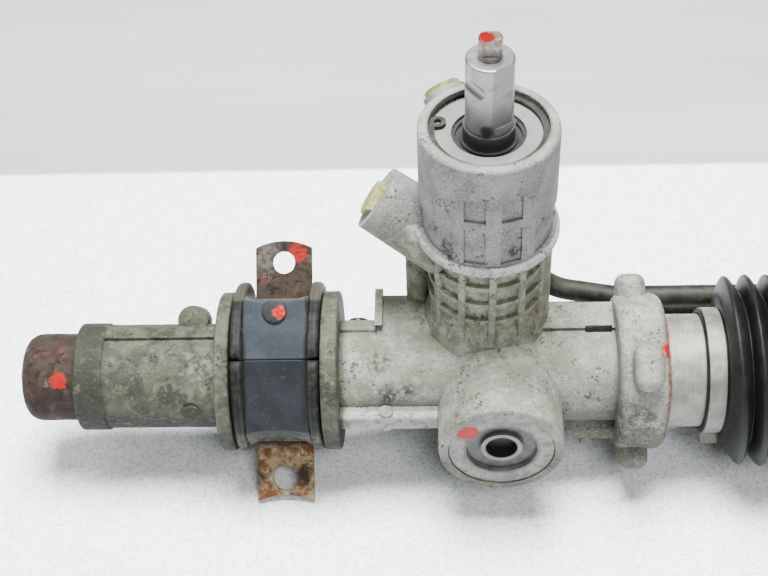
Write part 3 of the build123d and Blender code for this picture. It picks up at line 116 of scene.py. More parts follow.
def make_light(name, place, target, size, power):
    """Square soft light of a size in metres, aimed at a point."""
    data = bpy.data.lights.new(name, "AREA")
    data.size = size
    data.energy = power
    light = bpy.data.objects.new(name, data)
    light.location = place
    light.rotation_euler = (Vector(target) - Vector(place)).to_track_quat("-Z", "Y").to_euler()
    bpy.context.scene.collection.objects.link(light)


def make_surroundings():
    world = bpy.data.worlds.new("soft room")
    world.use_nodes = True
    world.node_tree.nodes["Background"].inputs["Color"].default_value = (0.93, 0.96, 1.0, 1.0)
    world.node_tree.nodes["Background"].inputs["Strength"].default_value = 0.10
    bpy.context.scene.world = world
    middle = rack_point(40.0, 0.0, 20.0)
    make_light("sky panel", middle + Vector((-0.05, 0.16, 1.25)), middle, 0.66, 108.0)
    make_light("left panel", middle + Vector((-1.1, 0.10, 0.95)), middle, 0.6, 8.0)
    make_light("front panel", middle + Vector((0.30, -0.95, 1.15)), middle, 0.6, 17.0)


# --- material building ---
def tone(red, green, blue):
    return (red, green, blue, 1.0)


RUST_DARK = tone(0.008, 0.0055, 0.0045)
RUST_BROWN = tone(0.016, 0.010, 0.0075)
RUST_ORANGE = tone(0.105, 0.036, 0.012)
DUST = tone(0.090, 0.087, 0.062)
# colour of the painted shade in corners and recesses
HOLLOW_SHADE = tone(0.018, 0.018, 0.014)
MARK_RED = tone(0.230, 0.004, 0.004)

ACROSS_SHAFT = (1.0, 1.0, 0.0)
ACROSS_YOKE = (1.0, 0.0, 1.0)
SHAFT_AXIS = (0.0, 0.0, 0.0)
YOKE_AXIS = rack_point(5.2, -42.6, 0.0)
YOKE_MARK = rack_point(-8.8, -42.4, 11.6)
FLANGE_MARK = rack_point(75.5, -14.5, 29.6)
# place from the rack bar and radius of each dark stain on the casting, in millimetres
CASTING_STAINS = (((-46.0, -9.0, 19.4), 9.0), ((-41.0, -19.5, 8.8), 8.0), ((-33.0, -18.5, 10.5), 5.0),
                  ((-17.0, -5.0, 81.0), 5.5), ((10.0, -9.0, 82.5), 5.5), ((24.0, 4.0, 88.0), 4.0),
                  ((47.0, -20.4, 6.0), 2.0))


class Finish:
    """A material and its node tree, with short ways to add patterns in millimetres. The colour
    so far is its base, and each coat goes over it."""

    def __init__(self, name, roughness=0.6, metallic=0.0, specular=0.5):
        self.material = bpy.data.materials.new(name)
        self.material.use_nodes = True
        self.tree = self.material.node_tree
        self.shader = self.tree.nodes["Principled BSDF"]
        self.shader.inputs["Roughness"].default_value = roughness
        self.shader.inputs["Metallic"].default_value = metallic
        self.shader.inputs["IOR"].default_value = 1.5
        self.shader.inputs["Specular IOR Level"].default_value = specular
        self.place = self.add("ShaderNodeTexCoord").outputs["Object"]
        self.base = None

    def add(self, kind, **settings):
        node = self.tree.nodes.new(kind)
        for key, value in settings.items():
            setattr(node, key, value)
        return node

    def put(self, socket, value):
        if isinstance(value, bpy.types.NodeSocket):
            self.tree.links.new(value, socket)
        else:
            socket.default_value = value

    def math(self, operation, first, second=0.0):
        node = self.add("ShaderNodeMath", operation=operation)
        for socket, value in zip(node.inputs, (first, second)):
            self.put(socket, value)
        return node.outputs[0]

    def times(self, *shares):
        """Shares multiplied together."""
        product = shares[0]
        for share in shares[1:]:
            product = self.math("MULTIPLY", product, share)
        return product

    def noise(self, size, detail=4.0, rough=0.55, bend=0.0, stretch=None):
        """Cloudy noise from 0 to 1 whose features are about size millimetres across."""
        node = self.add("ShaderNodeTexNoise")
        where = self.place if stretch is None else self.scaled(self.place, stretch)
        self.put(node.inputs["Vector"], where)
        self.put(node.inputs["Scale"], 1.0 / (size * MM))
        self.put(node.inputs["Detail"], detail)
        self.put(node.inputs["Roughness"], rough)
        self.put(node.inputs["Distortion"], bend)
        return node.outputs["Fac"]

    def patches(self, size, low, high, detail=5.0, rough=0.62, bend=0.3):
        """Ragged patches about size millimetres across: 0 under low, 1 over high."""
        return self.step(self.noise(size, detail, rough, bend=bend), low, high)

    def cells(self, size, place=None):
        """Distance from 0 to about 1 to scattered points size millimetres apart."""
        node = self.add("ShaderNodeTexVoronoi", feature="F1")
        self.put(node.inputs["Vector"], self.place if place is None else place)
        self.put(node.inputs["Scale"], 1.0 / (size * MM))
        return node.outputs["Distance"]

    def scaled(self, place, factors):
        node = self.add("ShaderNodeVectorMath", operation="MULTIPLY")
        self.put(node.inputs[0], place)
        node.inputs[1].default_value = factors
        return node.outputs[0]

    def shaken(self, amount, size):
        """The place moved about by up to amount millimetres, in patches of a size."""
        node = self.add("ShaderNodeTexNoise")
        self.put(node.inputs["Vector"], self.place)
        self.put(node.inputs["Scale"], 1.0 / (size * MM))
        self.put(node.inputs["Detail"], 3.0)
        centred = self.add("ShaderNodeVectorMath", operation="SUBTRACT")
        self.put(centred.inputs[0], node.outputs["Color"])
        centred.inputs[1].default_value = (0.5, 0.5, 0.5)
        moved = self.add("ShaderNodeVectorMath", operation="MULTIPLY_ADD")
        self.put(moved.inputs[0], centred.outputs[0])
        moved.inputs[1].default_value = (2 * amount * MM,) * 3
        self.put(moved.inputs[2], self.place)
        return moved.outputs[0]

    def step(self, value, low, high):
        """Smooth rise from 0 at low to 1 at high; falls where low is above high."""
        node = self.add("ShaderNodeMapRange", interpolation_type="SMOOTHSTEP")
        self.put(node.inputs["Value"], value)
        node.inputs["From Min"].default_value = min(low, high)
        node.inputs["From Max"].default_value = max(low, high)
        node.inputs["To Min"].default_value = 0.0 if low < high else 1.0
        node.inputs["To Max"].default_value = 1.0 if low < high else 0.0
        return node.outputs[0]

    def band(self, value, low, high, edge):
        """1 from low to high, falling to 0 over an edge outside both."""
        return self.times(self.step(value, low - edge, low), self.step(value, high + edge, high))

    def rise(self, value, low, high, level=0.0):
        """Step between two places in millimetres past a level; value and level are in metres."""
        return self.step(value, level + low * MM, level + high * MM)

    def zone(self, value, low, high, edge, level=0.0):
        """Band between two places in millimetres past a level; value and level are in metres."""
        return self.band(value, level + low * MM, level + high * MM, edge * MM)

    def blend(self, share, first, second):
        """Colour that goes from first to second as the share goes from 0 to 1."""
        node = self.add("ShaderNodeMix", data_type="RGBA")
        self.put(node.inputs["Factor"], share)
        self.put(node.inputs[6], first)
        self.put(node.inputs[7], second)
        return node.outputs[2]

    def between(self, share, low, high):
        """Number that goes from low to high as the share goes from 0 to 1."""
        node = self.add("ShaderNodeMapRange")
        self.put(node.inputs["Value"], share)
        node.inputs["To Min"].default_value = low
        node.inputs["To Max"].default_value = high
        return node.outputs[0]

    def axis(self, name):
        """One coordinate of the place, in metres."""
        node = self.add("ShaderNodeSeparateXYZ")
        self.put(node.inputs[0], self.place)
        return node.outputs[name]

    def along(self, direction):
        """How far the place lies along a direction from the origin, in metres."""
        node = self.add("ShaderNodeVectorMath", operation="DOT_PRODUCT")
        self.put(node.inputs[0], self.place)
        node.inputs[1].default_value = direction
        return node.outputs["Value"]

    def distance(self, centre, place=None):
        """Distance in metres from a point."""
        node = self.add("ShaderNodeVectorMath", operation="DISTANCE")
        self.put(node.inputs[0], self.place if place is None else place)
        node.inputs[1].default_value = centre
        return node.outputs["Value"]

    def near(self, centre, radius, edge=0.35, place=None):
        """1 within a radius in millimetres of a point, falling to 0 over its edge."""
        away = self.distance(centre, place)
        return self.step(away, radius * MM, radius * (1.0 - edge) * MM)

    def from_line(self, through, across):
        """Distance in metres from a line through a point; across is 0 along the line's own axis
        and 1 along the other two."""
        centre = [there * keep for there, keep in zip(through, across)]
        return self.distance(centre, self.scaled(self.place, across))

    def hollows(self, reach):
        """1 in corners and recesses, 0 on open faces, over a reach in millimetres."""
        node = self.add("ShaderNodeAmbientOcclusion", samples=4)
        node.inputs["Distance"].default_value = reach * MM
        return self.math("SUBTRACT", 1.0, node.outputs["AO"])

    def coat(self, colour, *shares):
        """Lays a colour over the base, as thick as the shares multiplied together."""
        self.base = self.blend(self.times(*shares), self.base, colour)

    def shade_hollows(self, reach, low, high, share, colour=HOLLOW_SHADE):
        """Painted shade in corners and recesses, over a reach in millimetres."""
        self.coat(colour, self.step(self.hollows(reach), low, high), share)

    def dab(self, centre, radius):
        """Dab of inspection paint with a ragged edge, of a radius in millimetres."""
        self.coat(MARK_RED, self.near(centre, radius, 0.25, self.shaken(0.45 * radius, 2.2)))

    def colour(self, value):
        self.put(self.shader.inputs["Base Color"], value)

    def rough(self, share, low, high):
        self.put(self.shader.inputs["Roughness"], self.between(share, low, high))

    def bump(self, *layers):
        """Relief from (height from 0 to 1, depth in millimetres) layers, one over another."""
        normal = None
        for height, depth in layers:
            node = self.add("ShaderNodeBump")
            node.inputs["Strength"].default_value = 1.0
            node.inputs["Distance"].default_value = depth * MM
            self.put(node.inputs["Height"], height)
            if normal is not None:
                self.put(node.inputs["Normal"], normal)
            normal = node.outputs["Normal"]
        self.put(self.shader.inputs["Normal"], normal)


def cast_alloy():
    """Sand-cast alloy: gritty pale skin, dark pits and specks, painted shade low down and in corners,
    olive crust on the left arm and on the ribs at the foot of the tower."""
    finish = Finish("weathered cast alloy", metallic=0.2, specular=0.25)
    along = finish.axis("X")
    height = finish.axis("Z")
    from_shaft = finish.from_line(SHAFT_AXIS, ACROSS_SHAFT)
    clouds = finish.noise(15.0, 6.0, 0.64, bend=0.4)
    grit = finish.noise(0.85, 3.0, 0.75)
    coarse = finish.noise(2.6, 5.0, 0.72)
    finish.base = finish.blend(finish.step(clouds, 0.36, 0.66), tone(0.12, 0.121, 0.102),
                               tone(0.215, 0.217, 0.194))
    finish.coat(tone(0.36, 0.36, 0.34), finish.step(coarse, 0.52, 0.7), 0.6)
    finish.coat(tone(0.075, 0.075, 0.06), finish.step(coarse, 0.46, 0.3), 0.45)
    # the olive crust of the left arm, thinner towards the tower
    left = finish.rise(along, -58, -63)
    crust = finish.blend(finish.patches(10.0, 0.38, 0.6, bend=0.6), tone(0.0125, 0.0138, 0.0088),
                         tone(0.046, 0.05, 0.03))
    crust = finish.blend(finish.times(finish.patches(4.0, 0.54, 0.68), 0.6), crust,
                         tone(0.1, 0.104, 0.073))
    worn = finish.times(finish.near(rack_point(-115.0, -14.0, 17.0), 20.0, 0.8, finish.shaken(8.0, 9.0)),
                        finish.patches(4.0, 0.42, 0.60))
    crust = finish.blend(finish.times(worn, 0.7), crust, tone(0.150, 0.153, 0.120))
    finish.coat(crust, left, 0.94)
    end_ring = finish.rise(along, -161, -166)
    finish.coat(tone(0.013, 0.014, 0.01), end_ring, 0.82)
    spot = finish.near(rack_point(-126.4, -22.9, 3.2), 4.6, 0.15)
    finish.coat(tone(0.012, 0.0125, 0.009), spot, 0.85)
    # the foot of the tower, between its ribs
    foot = finish.times(finish.zone(height, 24, 70, 5, RACK_Z), finish.rise(from_shaft, 40, 31))
    foot_crust = finish.blend(finish.patches(5.0, 0.4, 0.62), tone(0.11, 0.112, 0.08),
                              tone(0.26, 0.264, 0.202))
    finish.coat(foot_crust, foot, 0.72)
    # the clean cool head of the tower, its bright lip and the worn rim of its mouth
    head = finish.times(finish.rise(height, 70, 78, RACK_Z), finish.rise(from_shaft, 45, 32))
    cool = finish.blend(finish.patches(13.0, 0.36, 0.64), tone(0.115, 0.119, 0.116),
                        tone(0.195, 0.201, 0.197))
    finish.coat(cool, head, 0.8)
    lip = finish.times(finish.zone(height, 71.5, 77, 1.0, RACK_Z), finish.rise(from_shaft, 28, 28.8),
                       finish.rise(from_shaft, 34, 31))
    finish.coat(tone(0.34, 0.345, 0.325), lip, finish.patches(4.0, 0.3, 0.58))
    rim = finish.times(finish.rise(height, 128, 130, RACK_Z), finish.patches(5.0, 0.34, 0.6))
    finish.coat(tone(0.44, 0.45, 0.445), rim, 0.75)
    # painted shade under the arm and in every corner, darker patches at the flange's foot, and the inside
    # of the tower's mouth darker
    # painted shade: the underside of the arm darkened, broken up by the coarse noise
    low = finish.times(finish.rise(height, 7, -7, RACK_Z), finish.step(coarse, 0.2, 0.52))
    finish.coat(tone(0.006, 0.0063, 0.0045), low, finish.between(left, 0.6, 0.97))
    flange_foot = finish.times(finish.near(rack_point(60.0, -33.0, -2.0), 24.0, 0.6,
                                           finish.shaken(7.0, 6.0)), finish.patches(4.0, 0.36, 0.56))
    finish.coat(tone(0.026, 0.025, 0.018), flange_foot, 0.85)
    # painted shade in corners and recesses, broken up by the coarse noise and weaker on the ribbed foot
    recess_shade = finish.times(finish.hollows(8.0), finish.between(coarse, 0.5, 1.5),
                          finish.between(foot, 1.0, 0.55))
    finish.coat(tone(0.02, 0.02, 0.015), finish.step(recess_shade, 0.3, 0.8), 0.85)
    inside = finish.times(finish.rise(height, 110, 114, RACK_Z), finish.rise(from_shaft, 24.4, 23.8))
    finish.coat(tone(0.055, 0.054, 0.045), inside, 0.75)
    # dark and pale specks, dark stains in a few places, scattered pits, sandy and olive patches
    finish.coat(tone(0.026, 0.026, 0.02), finish.step(grit, 0.53, 0.72), 0.7)
    finish.coat(tone(0.44, 0.44, 0.41), finish.step(grit, 0.46, 0.28), finish.between(left, 0.45, 0.1))
    pits = finish.step(finish.cells(1.9, place=finish.shaken(1.0, 1.5)), 0.42, 0.22)
    patches = None
    for place, radius in CASTING_STAINS:
        spot = finish.near(rack_point(*place), radius, 0.8, finish.shaken(3.0, 3.0))
        patches = spot if patches is None else finish.math("MAXIMUM", patches, spot)
    stain = finish.times(patches, finish.patches(2.0, 0.38, 0.56))
    finish.coat(tone(0.016, 0.016, 0.014), stain, 0.92)
    scattered = finish.times(pits, finish.patches(9.0, 0.52, 0.62))
    finish.coat(tone(0.026, 0.026, 0.021), scattered, 0.8)
    sandy = finish.times(finish.patches(6.0, 0.56, 0.72), 0.45)
    finish.coat(tone(0.15, 0.132, 0.085), sandy)
    olive = finish.times(finish.patches(12.0, 0.44, 0.62), finish.rise(height, 72, 62, RACK_Z),
                         finish.between(finish.rise(along, 25, 45), 0.5, 0.18),
                         finish.between(left, 1.0, 0.0))
    finish.coat(tone(0.12, 0.121, 0.076), olive)
    seam = finish.times(finish.zone(height, -5, 3, 0.5, RACK_Z),
                        finish.rise(finish.axis("Y"), -23, -24.5, RACK_Y),
                        finish.zone(along, -60, -22, 1.5), finish.patches(3.0, 0.3, 0.55))
    finish.coat(tone(0.3, 0.302, 0.285), seam, 0.7)
    # rust along the flange's joint, and the dabs of paint
    joint = finish.times(finish.zone(along, 74.2, 76, 0.6), finish.patches(2.5, 0.38, 0.55))
    finish.coat(RUST_ORANGE, joint, 0.8)
    finish.dab(YOKE_MARK, 5.0)
    finish.coat(MARK_RED, finish.near(FLANGE_MARK, 4.4, 0.3, finish.shaken(2.6, 2.0)))
    finish.colour(finish.base)
    finish.rough(coarse, 0.50, 0.90)
    finish.bump((grit, 0.28), (coarse, 0.4), (clouds, 0.5),
                (finish.math("SUBTRACT", 1.0, scattered), 0.35))
    return finish.material


def turned_alloy():
    """Turned alloy gone dull: pale, fine rings, brown stains, painted shade in its grooves."""
    finish = Finish("dull turned alloy", metallic=0.4, specular=0.4)
    lines = finish.noise(0.5, 2.0, 0.5, stretch=(1.0, 0.05, 0.05))
    clouds = finish.noise(9.0, 5.0, 0.6)
    grit = finish.noise(0.9, 3.0, 0.72)
    finish.base = finish.blend(finish.step(clouds, 0.38, 0.64), tone(0.125, 0.124, 0.106),
                               tone(0.2, 0.197, 0.172))
    finish.coat(tone(0.32, 0.32, 0.3), finish.step(lines, 0.5, 0.7), 0.2)
    finish.coat(tone(0.06, 0.058, 0.046), finish.step(grit, 0.56, 0.76), 0.5)
    finish.coat(tone(0.42, 0.42, 0.39), finish.step(grit, 0.42, 0.26), 0.35)
    finish.coat(tone(0.115, 0.098, 0.066), finish.patches(4.0, 0.58, 0.72), 0.5)
    # the plug of the yoke: dirty face, a recess darkened with painted shade, paler hub and a black socket
    face = finish.along(Vector((0.0, 1.0, 0.0)))
    outward = finish.from_line(YOKE_AXIS, ACROSS_YOKE)
    front = finish.times(finish.rise(face, -30, -32, RACK_Y), finish.rise(outward, 30, 27))
    plug = finish.blend(finish.patches(3.5, 0.36, 0.62), tone(0.055, 0.057, 0.052),
                        tone(0.15, 0.156, 0.145))
    finish.coat(plug, front, 0.75)
    # painted shade in the ring recess round the hub
    recess_shade = finish.times(front, finish.rise(outward, 16.4, 15.4), finish.rise(outward, 8.3, 8.9))
    finish.coat(tone(0.028, 0.029, 0.028), recess_shade, 0.62)
    hub = finish.times(front, finish.zone(outward, 7.0, 8.8, 0.3))
    finish.coat(tone(0.13, 0.133, 0.126), hub, 0.7)
    socket = finish.times(front, finish.rise(outward, 7.1, 6.6))
    finish.coat(tone(0.01, 0.011, 0.0115), socket, 0.95)
    # painted shade in grooves and corners
    finish.shade_hollows(4.0, 0.22, 0.72, 0.9, tone(0.028, 0.027, 0.021))
    finish.dab(YOKE_MARK, 5.0)
    finish.dab(rack_point(-5.8, -42.4, 6.0), 1.5)
    splash = finish.near(FLANGE_MARK, 4.6, 0.3, finish.shaken(3.0, 2.0))
    finish.coat(MARK_RED, splash)
    joint = finish.times(finish.zone(finish.axis("X"), 74.0, 76.4, 0.5), finish.patches(2.5, 0.34, 0.5))
    finish.coat(RUST_ORANGE, joint, 0.85)
    finish.colour(finish.base)
    finish.rough(clouds, 0.40, 0.70)
    finish.bump((lines, 0.04), (grit, 0.10))
    return finish.material


def rusty_steel():
    """Steel with brown scale, orange bloom, dark blisters and a little bare grey left."""
    finish = Finish("rusted steel", metallic=0.0, specular=0.15)
    scale = finish.noise(6.0, 6.0, 0.68, bend=0.5)
    fine = finish.noise(0.9, 4.0, 0.75)
    finish.base = finish.blend(finish.step(scale, 0.36, 0.6), RUST_BROWN, tone(0.026, 0.0185, 0.014))
    bloom = finish.times(finish.patches(8.0, 0.50, 0.66), finish.step(fine, 0.38, 0.62))
    finish.coat(RUST_ORANGE, bloom, 0.6)
    bare = finish.times(finish.patches(9.0, 0.55, 0.66), finish.step(fine, 0.40, 0.62))
    finish.coat(tone(0.085, 0.083, 0.076), bare, 0.7)
    dark = finish.patches(3.2, 0.54, 0.66, bend=0.8)
    finish.coat(RUST_DARK, dark, 0.85)
    finish.coat(tone(0.075, 0.06, 0.045), finish.step(fine, 0.6, 0.78), 0.6)
    # the lower ear is paler, with ochre rust round its hole
    level = finish.along(MOUNT_UP)
    rack_level = RACK_Y * MOUNT_UP.y + RACK_Z * MOUNT_UP.z
    lower = finish.rise(level, -30, -34, rack_level)
    ochre = finish.blend(finish.patches(5.0, 0.4, 0.6), tone(0.12, 0.045, 0.018),
                         tone(0.265, 0.195, 0.105))
    ochre = finish.blend(finish.times(finish.patches(3.0, 0.55, 0.66), 0.8), ochre,
                         tone(0.32, 0.3, 0.23))
    finish.coat(ochre, lower, finish.patches(11.0, 0.34, 0.52))
    grey = finish.times(finish.near(rack_point(-95.5, 47.0, 26.5), 9.0, 0.6, finish.shaken(5.0, 5.0)),
                        finish.patches(3.0, 0.36, 0.56))
    finish.coat(tone(0.095, 0.094, 0.083), grey, 0.6)
    # painted shade: dark rust colour laid in corners and recesses
    edge = finish.step(finish.hollows(4.0), 0.25, 0.80)
    finish.coat(RUST_DARK, edge, 0.9)
    finish.dab(rack_point(-182.8, -13.9, 13.5), 4.2)
    upper = finish.times(finish.near(rack_point(-83.1, 48.3, 27.4), 5.4, 0.5, finish.shaken(3.0, 3.0)),
                         finish.patches(1.6, 0.36, 0.50))
    finish.coat(MARK_RED, upper, 0.9)
    finish.colour(finish.base)
    finish.rough(fine, 0.60, 0.95)
    finish.bump((fine, 0.22), (scale, 0.35), (dark, 0.15))
    return finish.material


def bright_steel():
    """Ground steel: fine lines, grey smears, a rust spot and a dark greasy foot on the shaft."""
    finish = Finish("ground steel", roughness=0.32, metallic=0.85)
    lines = finish.noise(0.35, 2.0, 0.5, stretch=(0.04, 0.04, 1.0))
    clouds = finish.noise(8.0, 5.0, 0.6)
    finish.base = finish.blend(clouds, tone(0.165, 0.168, 0.168), tone(0.27, 0.274, 0.274))
    finish.coat(tone(0.09, 0.09, 0.087), finish.step(lines, 0.5, 0.72), 0.3)
    finish.coat(tone(0.07, 0.066, 0.058), finish.patches(5.0, 0.54, 0.68), 0.45)
    spot = finish.near(rack_point(-1.1, 6.5, 129.6), 4.0, 0.6, finish.shaken(2.0, 2.0))
    finish.coat(RUST_BROWN, spot, 0.85)
    height = finish.axis("Z")
    near_shaft = finish.rise(finish.from_line(SHAFT_AXIS, ACROSS_SHAFT), 16, 15)
    foot = finish.times(finish.rise(height, 129.5, 125.5, RACK_Z), near_shaft)
    finish.coat(tone(0.045, 0.045, 0.048), foot, 0.85)
    tip = finish.times(finish.rise(height, 158, 161, RACK_Z), finish.patches(2.0, 0.4, 0.56))
    finish.coat(tone(0.12, 0.078, 0.045), tip, 0.8)
    # painted shade in corners and recesses
    finish.shade_hollows(3.0, 0.3, 0.8, 0.8, tone(0.05, 0.047, 0.04))
    finish.dab(rack_point(-1.4, 15.3, 167.0), 3.4)
    finish.colour(finish.base)
    finish.rough(clouds, 0.28, 0.50)
    finish.bump((lines, 0.02), (finish.noise(1.0, 3.0), 0.02))
    return finish.material


def plate_steel():
    """Matt grey plate: faint clouds, a brown stain and painted shade where it meets the bore."""
    finish = Finish("matt grey plate", roughness=0.5, metallic=0.25, specular=0.3)
    clouds = finish.noise(6.0, 5.0, 0.6)
    finish.base = finish.blend(clouds, tone(0.095, 0.097, 0.094), tone(0.17, 0.173, 0.168))
    finish.coat(tone(0.105, 0.085, 0.05), finish.patches(3.0, 0.56, 0.68), 0.5)
    # painted shade in corners and recesses
    finish.shade_hollows(2.0, 0.35, 0.85, 0.8)
    finish.colour(finish.base)
    finish.rough(clouds, 0.42, 0.62)
    finish.bump((finish.noise(0.8, 3.0), 0.04))
    return finish.material


def dark_steel():
    """Pipe and hardware steel: dull olive brown with rust specks and pale rubs."""
    finish = Finish("dark coated steel", metallic=0.2, specular=0.25)
    clouds = finish.noise(6.0, 5.0, 0.6)
    finish.base = finish.blend(finish.step(clouds, 0.36, 0.66), tone(0.008, 0.008, 0.0062),
                               tone(0.022, 0.0216, 0.0162))
    finish.coat(tone(0.05, 0.048, 0.037), finish.patches(3.0, 0.56, 0.68), 0.5)
    finish.coat(RUST_BROWN, finish.patches(2.6, 0.58, 0.7), 0.7)
    # painted shade in corners and recesses
    finish.shade_hollows(3.0, 0.3, 0.8, 0.8)
    finish.colour(finish.base)
    finish.rough(clouds, 0.42, 0.72)
    finish.bump((finish.noise(0.9, 3.0), 0.08))
    return finish.material


def tube_paint():
    """Black paint with chips down to rust and a film of dust."""
    finish = Finish("black tube paint", specular=0.5)
    clouds = finish.noise(14.0, 6.0, 0.6)
    finish.base = finish.blend(finish.step(clouds, 0.4, 0.66), tone(0.014, 0.0145, 0.0145),
                               tone(0.03, 0.03, 0.028))
    chips = finish.step(finish.noise(3.0, 6.0, 0.7), 0.64, 0.68)
    finish.coat(RUST_BROWN, chips)
    finish.coat(tone(0.085, 0.083, 0.066), finish.patches(5.0, 0.52, 0.7), 0.4)
    # painted shade in corners and recesses
    finish.shade_hollows(5.0, 0.3, 0.8, 0.8)
    finish.colour(finish.base)
    finish.rough(clouds, 0.35, 0.6)
    finish.bump((finish.noise(1.0, 4.0), 0.05), (chips, 0.06))
    return finish.material


def clamp_steel():
    """Plated band steel gone grey green, with brown stains."""
    finish = Finish("dull plated steel", metallic=0.4)
    clouds = finish.noise(5.0, 5.0, 0.6)
    finish.base = finish.blend(finish.step(clouds, 0.36, 0.66), tone(0.1, 0.102, 0.088),
                               tone(0.17, 0.172, 0.15))
    finish.coat(tone(0.085, 0.075, 0.052), finish.patches(2.5, 0.56, 0.7), 0.55)
    # painted shade in corners and recesses
    finish.shade_hollows(3.0, 0.3, 0.8, 0.8)
    finish.colour(finish.base)
    finish.rough(clouds, 0.40, 0.66)
    finish.bump((finish.noise(0.8, 3.0), 0.05))
    return finish.material


def bush_rubber():
    """Moulded rubber: slate blue on the wiped faces, grey green dust on the flanges, painted shade making
    the half below the split darker.
    """
    finish = Finish("moulded mount rubber", specular=0.14)
    rack_level = RACK_Y * MOUNT_UP.y + RACK_Z * MOUNT_UP.z
    split = rack_level + 6.8 * MM
    # painted light and shade: the half above the split takes a lighter lit copy of the rubber, the half
    # below a darker shaded copy
    upper = finish.rise(finish.along(MOUNT_UP), -0.1, 0.1, split)
    clouds = finish.noise(11.0, 6.0, 0.6, bend=0.4)
    dark = finish.blend(finish.step(clouds, 0.35, 0.68), tone(0.008, 0.0098, 0.0118),
                        tone(0.0125, 0.015, 0.0178))
    light = finish.blend(finish.step(clouds, 0.35, 0.68), tone(0.017, 0.0215, 0.0262),
                         tone(0.026, 0.0325, 0.039))
    finish.base = finish.blend(upper, dark, light)
    forward = RACK_Y * MOUNT_OUT.y + RACK_Z * MOUNT_OUT.z
    across = finish.axis("X")
    off_middle = finish.math("MINIMUM",
                             finish.math("ABSOLUTE", finish.math("SUBTRACT", across, LEFT_MOUNT_X)),
                             finish.math("ABSOLUTE", finish.math("SUBTRACT", across, RIGHT_MOUNT_X)))
    outside = finish.math("MAXIMUM", finish.rise(off_middle, 12.2, 13.6),
                          finish.times(finish.rise(finish.along(MOUNT_OUT), 27.1, 27.6, forward), 0.6))
    rubbed = finish.blend(finish.patches(3.4, 0.36, 0.64), tone(0.0035, 0.0038, 0.0032),
                          tone(0.0135, 0.0142, 0.011))
    finish.coat(rubbed, outside, 0.9)
    lower_end = finish.rise(finish.along(MOUNT_UP), -23.0, -28.0, rack_level)
    dusty_end = finish.times(lower_end, finish.patches(2.6, 0.36, 0.60))
    finish.coat(tone(0.08, 0.077, 0.06), dusty_end, 0.75)
    upper_end = finish.rise(finish.along(MOUNT_UP), 31.0, 32.6, rack_level)
    finish.coat(tone(0.055, 0.054, 0.041), upper_end, 0.6)
    finish.coat(DUST, finish.patches(1.8, 0.58, 0.74), 0.25)
    # painted shade in corners and recesses
    recess_shade = finish.hollows(6.0)
    finish.coat(tone(0.004, 0.004, 0.0035), finish.step(recess_shade, 0.28, 0.8), 0.9)
    dab = finish.near(rack_point(-86.9, 0.3, 39.4), 3.4, 0.4, finish.shaken(1.6, 2.0))
    finish.coat(finish.blend(finish.patches(1.4, 0.44, 0.54), tone(0.36, 0.03, 0.022), MARK_RED), dab)
    finish.colour(finish.base)
    finish.rough(clouds, 0.50, 0.72)
    finish.bump((finish.noise(0.7, 4.0, 0.65), 0.05), (finish.noise(6.0, 3.0), 0.12))
    return finish.material


def boot_rubber():
    """Bellows rubber: near black with a soft shine, brown dust along the top of the first folds."""
    finish = Finish("bellows rubber", specular=0.12)
    clouds = finish.noise(18.0, 6.0, 0.6)
    finish.base = finish.blend(finish.step(clouds, 0.38, 0.66), tone(0.004, 0.0043, 0.0042),
                               tone(0.009, 0.0096, 0.0092))
    top = finish.rise(finish.axis("Z"), 8, 36, RACK_Z)
    dusty = finish.times(top, finish.patches(6.0, 0.42, 0.64))
    finish.coat(tone(0.018, 0.0185, 0.016), dusty, 0.3)
    finish.coat(tone(0.045, 0.043, 0.034), finish.patches(1.2, 0.6, 0.74), 0.18)
    # painted shade, near black, deep in the folds
    finish.shade_hollows(6.0, 0.35, 0.9, 0.8, tone(0.004, 0.004, 0.004))
    finish.colour(finish.base)
    finish.rough(clouds, 0.36, 0.58)
    finish.bump((finish.noise(0.8, 4.0), 0.05), (finish.noise(9.0, 3.0), 0.3))
    return finish.material


def seal_rubber():
    """Black oily seal rubber."""
    finish = Finish("seal rubber", specular=0.5)
    clouds = finish.noise(4.0, 5.0, 0.6)
    finish.colour(finish.blend(clouds, tone(0.006, 0.006, 0.006), tone(0.016, 0.016, 0.016)))
    finish.rough(clouds, 0.25, 0.5)
    finish.bump((finish.noise(0.6, 3.0), 0.03))
    return finish.material


def plug_plastic():
    """Brittle yellow green plastic with dirt on its broken edge."""
    finish = Finish("yellow green plastic", specular=0.5)
    finish.shader.inputs["Subsurface Weight"].default_value = 0.15
    finish.shader.inputs["Subsurface Scale"].default_value = 3.0 * MM
    clouds = finish.noise(3.5, 5.0, 0.6)
    finish.base = finish.blend(clouds, tone(0.1, 0.102, 0.022), tone(0.2, 0.198, 0.062))
    finish.coat(tone(0.035, 0.033, 0.016), finish.patches(1.8, 0.5, 0.64), 0.75)
    finish.coat(tone(0.36, 0.355, 0.2), finish.patches(1.0, 0.6, 0.7), 0.7)
    finish.colour(finish.base)
    finish.rough(clouds, 0.4, 0.7)
    finish.bump((finish.noise(0.9, 4.0), 0.3), (finish.noise(2.6, 3.0), 0.9))
    return finish.material


def liner_plastic():
    """Smooth uncoloured plastic of the slide shoes and rings."""
    finish = Finish("natural liner plastic", specular=0.5)
    clouds = finish.noise(3.0, 4.0, 0.6)
    finish.colour(finish.blend(clouds, tone(0.34, 0.32, 0.25), tone(0.48, 0.46, 0.38)))
    finish.rough(clouds, 0.35, 0.5)
    finish.bump((finish.noise(0.7, 3.0), 0.02))
    return finish.material


def bearing_bronze():
    """Plain bearing bronze, darkened in patches."""
    finish = Finish("bearing bronze", metallic=0.9)
    clouds = finish.noise(3.0, 4.0, 0.6)
    finish.colour(finish.blend(clouds, tone(0.26, 0.16, 0.06), tone(0.42, 0.28, 0.12)))
    finish.rough(clouds, 0.3, 0.5)
    finish.bump((finish.noise(0.7, 3.0), 0.02))
    return finish.material


